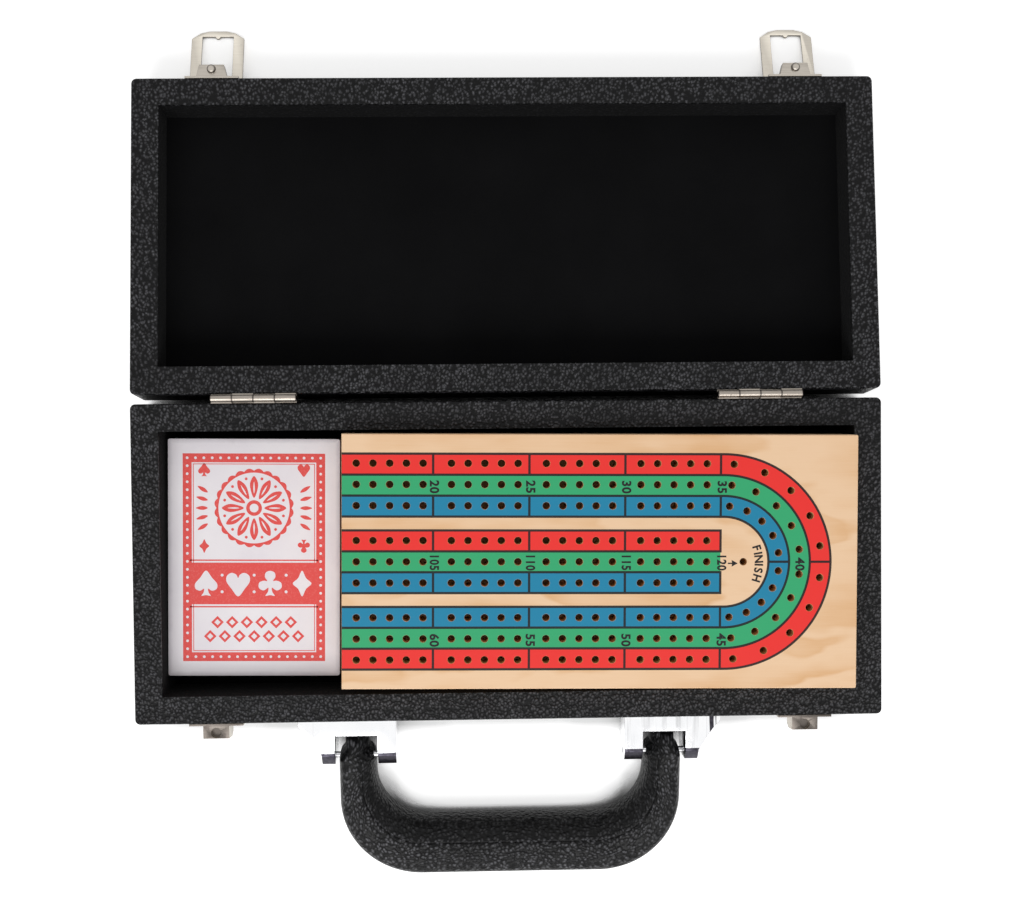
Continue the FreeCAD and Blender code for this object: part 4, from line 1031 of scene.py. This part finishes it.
def dotted_frame():
    """A red frame pierced by white dots, with a fine line inside it."""
    corners = oblong(dot_inset, dot_inset, card_width - dot_inset, card_length - dot_inset)
    dots = []
    for (a0, b0), (a1, b1) in zip(corners, corners[1:] + corners[:1]):
        count = round(math.dist((a0, b0), (a1, b1)) / dot_pitch)
        dots += [circle(between(a0, a1, i / count), between(b0, b1, i / count), dot_radius, 10)
                 for i in range(count)]
    borders = (frame_out, frame_in, fine_line, fine_line + 0.28)
    return drawing(*[oblong(inset, inset, card_width - inset, card_length - inset)
                     for inset in borders], *dots)


def rosette():
    """Twelve petals round a pierced boss, inside a scalloped ring."""
    pieces = [circle(0, 0, 3.0, 32), circle(0, 0, 1.7, 24)]
    petal = rounded([(3.9, 0), (6.4, 1.15), (9.6, 1.5), (12.3, 0), (9.6, -1.5), (6.4, -1.15)])
    slit = rounded([(5.6, 0), (7.6, 0.32), (10.2, 0), (7.6, -0.32)])
    for i in range(12):
        angle = math.tau * i / 12
        for outline in (petal, slit):
            pieces.append([(x * math.cos(angle) - y * math.sin(angle),
                            x * math.sin(angle) + y * math.cos(angle)) for x, y in outline])
        pieces.append(circle(*polar(11.6, angle + math.pi / 12), 0.55, 10))
    scallops, steps, swell = 24, 8, 0.9
    rim = []
    for i in range(scallops * steps):
        angle = math.tau * i / (scallops * steps)
        swollen = swell * abs(math.sin(angle * scallops / 2))
        rim.append(polar(rosette_radius - swell + swollen, angle))
    pieces += [rim, circle(0, 0, 13.6, 64)]
    return drawing(*pieces)


def suit_band():
    """A solid band with the four suits left white, between double rules."""
    wide = card_width - 2 * frame_in + 1.4
    left = (card_width - wide) / 2
    middle = band_low + (band_high - band_low) / 2
    pips = [moved(pip, left + wide * (i + 0.5) / 4, middle, 5.0) for i, pip in enumerate(suits)]
    seeds = [circle(left + wide * i / 4, middle + side * 3.2, 0.6, 10)
             for i in (1, 2, 3) for side in (-1, 1)]
    return drawing(oblong(left, band_low, left + wide, band_high), *pips, *seeds), [
        drawing(oblong(left, b, left + wide, b + 0.5)) for b in (band_low - 1.2, band_high + 0.7)]


def lattice():
    """Two rows of lozenges under the band, their middles left white."""
    pieces = []
    for row, b in enumerate((15.2, 20.6)):
        count = 7 - row
        for i in range(count):
            a = card_width / 2 + (i - (count - 1) / 2) * 5.6
            pieces += [moved([(0, 2.4), (2.4, 0), (0, -2.4), (-2.4, 0)], a, b),
                       moved([(0, 1.2), (1.2, 0), (0, -1.2), (-1.2, 0)], a, b)]
    return drawing(*pieces)


red_ink = printing_ink("red ink", shade(226, 82, 78), shade(232, 130, 126))
band, band_rules = suit_band()
marks = [(dotted_frame(), on_card(0, 0)),
         (band, on_card(0, 0) @ Matrix.Translation((0, 0, band_lift))),
         (lattice(), on_card(0, 0)), (rosette(), on_card(card_width / 2, field_middle))]
marks += [(rule, on_card(0, 0)) for rule in band_rules]
marks += [(drawing(suits[i]), on_card(card_width / 2 + x * 19.0, field_middle + y * 14.6,
                                      0 if y > 0 else 180, 2.6))
          for i, (x, y) in enumerate(((-1, 1), (1, 1), (1, -1), (-1, -1)))]
leaf = rounded([(0, 0), (2.1, 0.75), (4.6, 0), (2.1, -0.75)])
marks += [(drawing(leaf), on_card(card_width / 2 + side * 17.6, field_middle - 6 + 3 * i,
                                  (0 if side > 0 else 180) + side * (i - 2) * 16))
          for side in (-1, 1) for i in range(5)]
stamped("card_box_print", marks, red_ink, "card_packet")


# ------------------------ the light, floor and camera
# A pale table top under a large soft lamp, with the camera straight above.

handle_sides, handle_back, handle_front = (0.045, 0.055), (-0.09, -0.084), -0.112
strip_start, strip_end = (-0.0725, -0.0685), (-0.055, -0.05)
table_size, table_drop, contact = 3.0, 0.05 * mm, 24 * mm


def seen(tree):
    """1 for what is looked at, also in metal or through glass, and 0 for what only lights."""
    ray = tree.nodes.new("ShaderNodeLightPath")
    return (Field(ray.outputs["Is Camera Ray"]) + Field(ray.outputs["Is Glossy Ray"])
            + Field(ray.outputs["Is Transmission Ray"])).at_most(1.0)


def pale_table():
    """A matt table that shades off under the object by a painted shadow from occlusion, deepened
    in given places inside the handle and along the case's front, and is clear from below.
    """
    mesh = bpy.data.meshes.new("table_top")
    corners = oblong(-table_size, -table_size, table_size, table_size)
    mesh.from_pydata([(*corner, -table_drop) for corner in corners], [], [(0, 1, 2, 3)])
    table = linked("table_top", mesh)
    material = bpy.data.materials.new("pale table")
    material.use_nodes = True
    tree = material.node_tree
    tree.nodes.clear()
    open_sky = Field(add(tree, "AmbientOcclusion", {"Distance": contact}).outputs["AO"])
    across, out, _ = axes(coordinates(tree, "Object"))
    # Painted shadow: a darker band inside the handle and a thin one along the case's front, placed
    # by position and scaled by occlusion.
    in_handle = (across.size().ramp(*handle_sides, 1.0, 0.0) * out.ramp(*handle_back, 1.0, 0.0)
                 * out.above(handle_front))
    in_front = out.ramp(*strip_start) * out.ramp(*strip_end, 1.0, 0.0)
    # Painted shade: occlusion darkens the table's colour and its glow near the object.
    lit = (open_sky.ramp(0.2, 0.36) * (in_handle * open_sky.ramp(0.46, 0.57, -0.85, 0.0) + 1.0)
           * (in_front * open_sky.ramp(0.7, 0.8, -0.42, 0.0) + 1.0))
    matt = add(tree, "BsdfDiffuse", {
        "Color": mixed(lit, (0.03, 0.03, 0.03, 1.0), (0.82, 0.82, 0.82, 1.0))})
    glow = add(tree, "Emission", {"Color": (1.0, 1.0, 1.0, 1.0),
                                  "Strength": seen(tree) * open_sky.ramp(0.2, 0.5) * lit * 0.6})
    both = add(tree, "AddShader", {0: matt.outputs[0], 1: glow.outputs[0]})
    below = tree.nodes.new("ShaderNodeNewGeometry").outputs["Backfacing"]
    clear = tree.nodes.new("ShaderNodeBsdfTransparent").outputs[0]
    surface = add(tree, "MixShader", {0: below, 1: both.outputs[0], 2: clear})
    add(tree, "OutputMaterial", {"Surface": surface.outputs[0]})
    mesh.materials.append(material)


def soft_room(strength):
    """Even light from all round; seen directly or in metal it is plain white."""
    world = bpy.data.worlds.new("soft room")
    world.use_nodes = True
    bpy.context.scene.world = world
    tree = world.node_tree
    height = axes(coordinates(tree, "Generated"))[2]
    mirrored = Field(tree.nodes.new("ShaderNodeLightPath").outputs["Is Glossy Ray"])
    shown = seen(tree) - mirrored * height.ramp(0.02, 0.45, 0.8, 0.0)
    feed(tree.nodes["Background"].inputs["Strength"], shown * (1.0 - strength) + strength)
    tree.nodes["Background"].inputs["Color"].default_value = (1.0, 1.0, 1.0, 1.0)


pale_table()
soft_room(0.5)
light = bpy.data.lights.new("soft_box", "AREA")
light.shape, light.size, light.size_y, light.energy = "RECTANGLE", 1.4, 0.8, 17.0
lamp = linked("soft_box", light)
lamp.location = (-0.15, -0.95, 1.25)
aim = Vector((0.0, 0.05, 0.0)) - lamp.location
lamp.rotation_euler = aim.to_track_quat("-Z", "Y").to_euler()

camera = bpy.data.cameras.new("camera")
camera.sensor_width, camera.lens, camera.sensor_fit = 36.0, 56.32, "HORIZONTAL"
camera.clip_start, camera.clip_end = 0.01, 10.0
viewer = linked("camera", camera)
viewer.matrix_world = (Matrix.Translation((-17.55 * mm, 59.83 * mm, 634.0 * mm))
                       @ tilt(-0.54) @ tilt(-1.71, "Y") @ tilt(-1.88, "X"))
bpy.context.scene.camera = viewer
bpy.context.scene.view_settings.view_transform = "Standard"
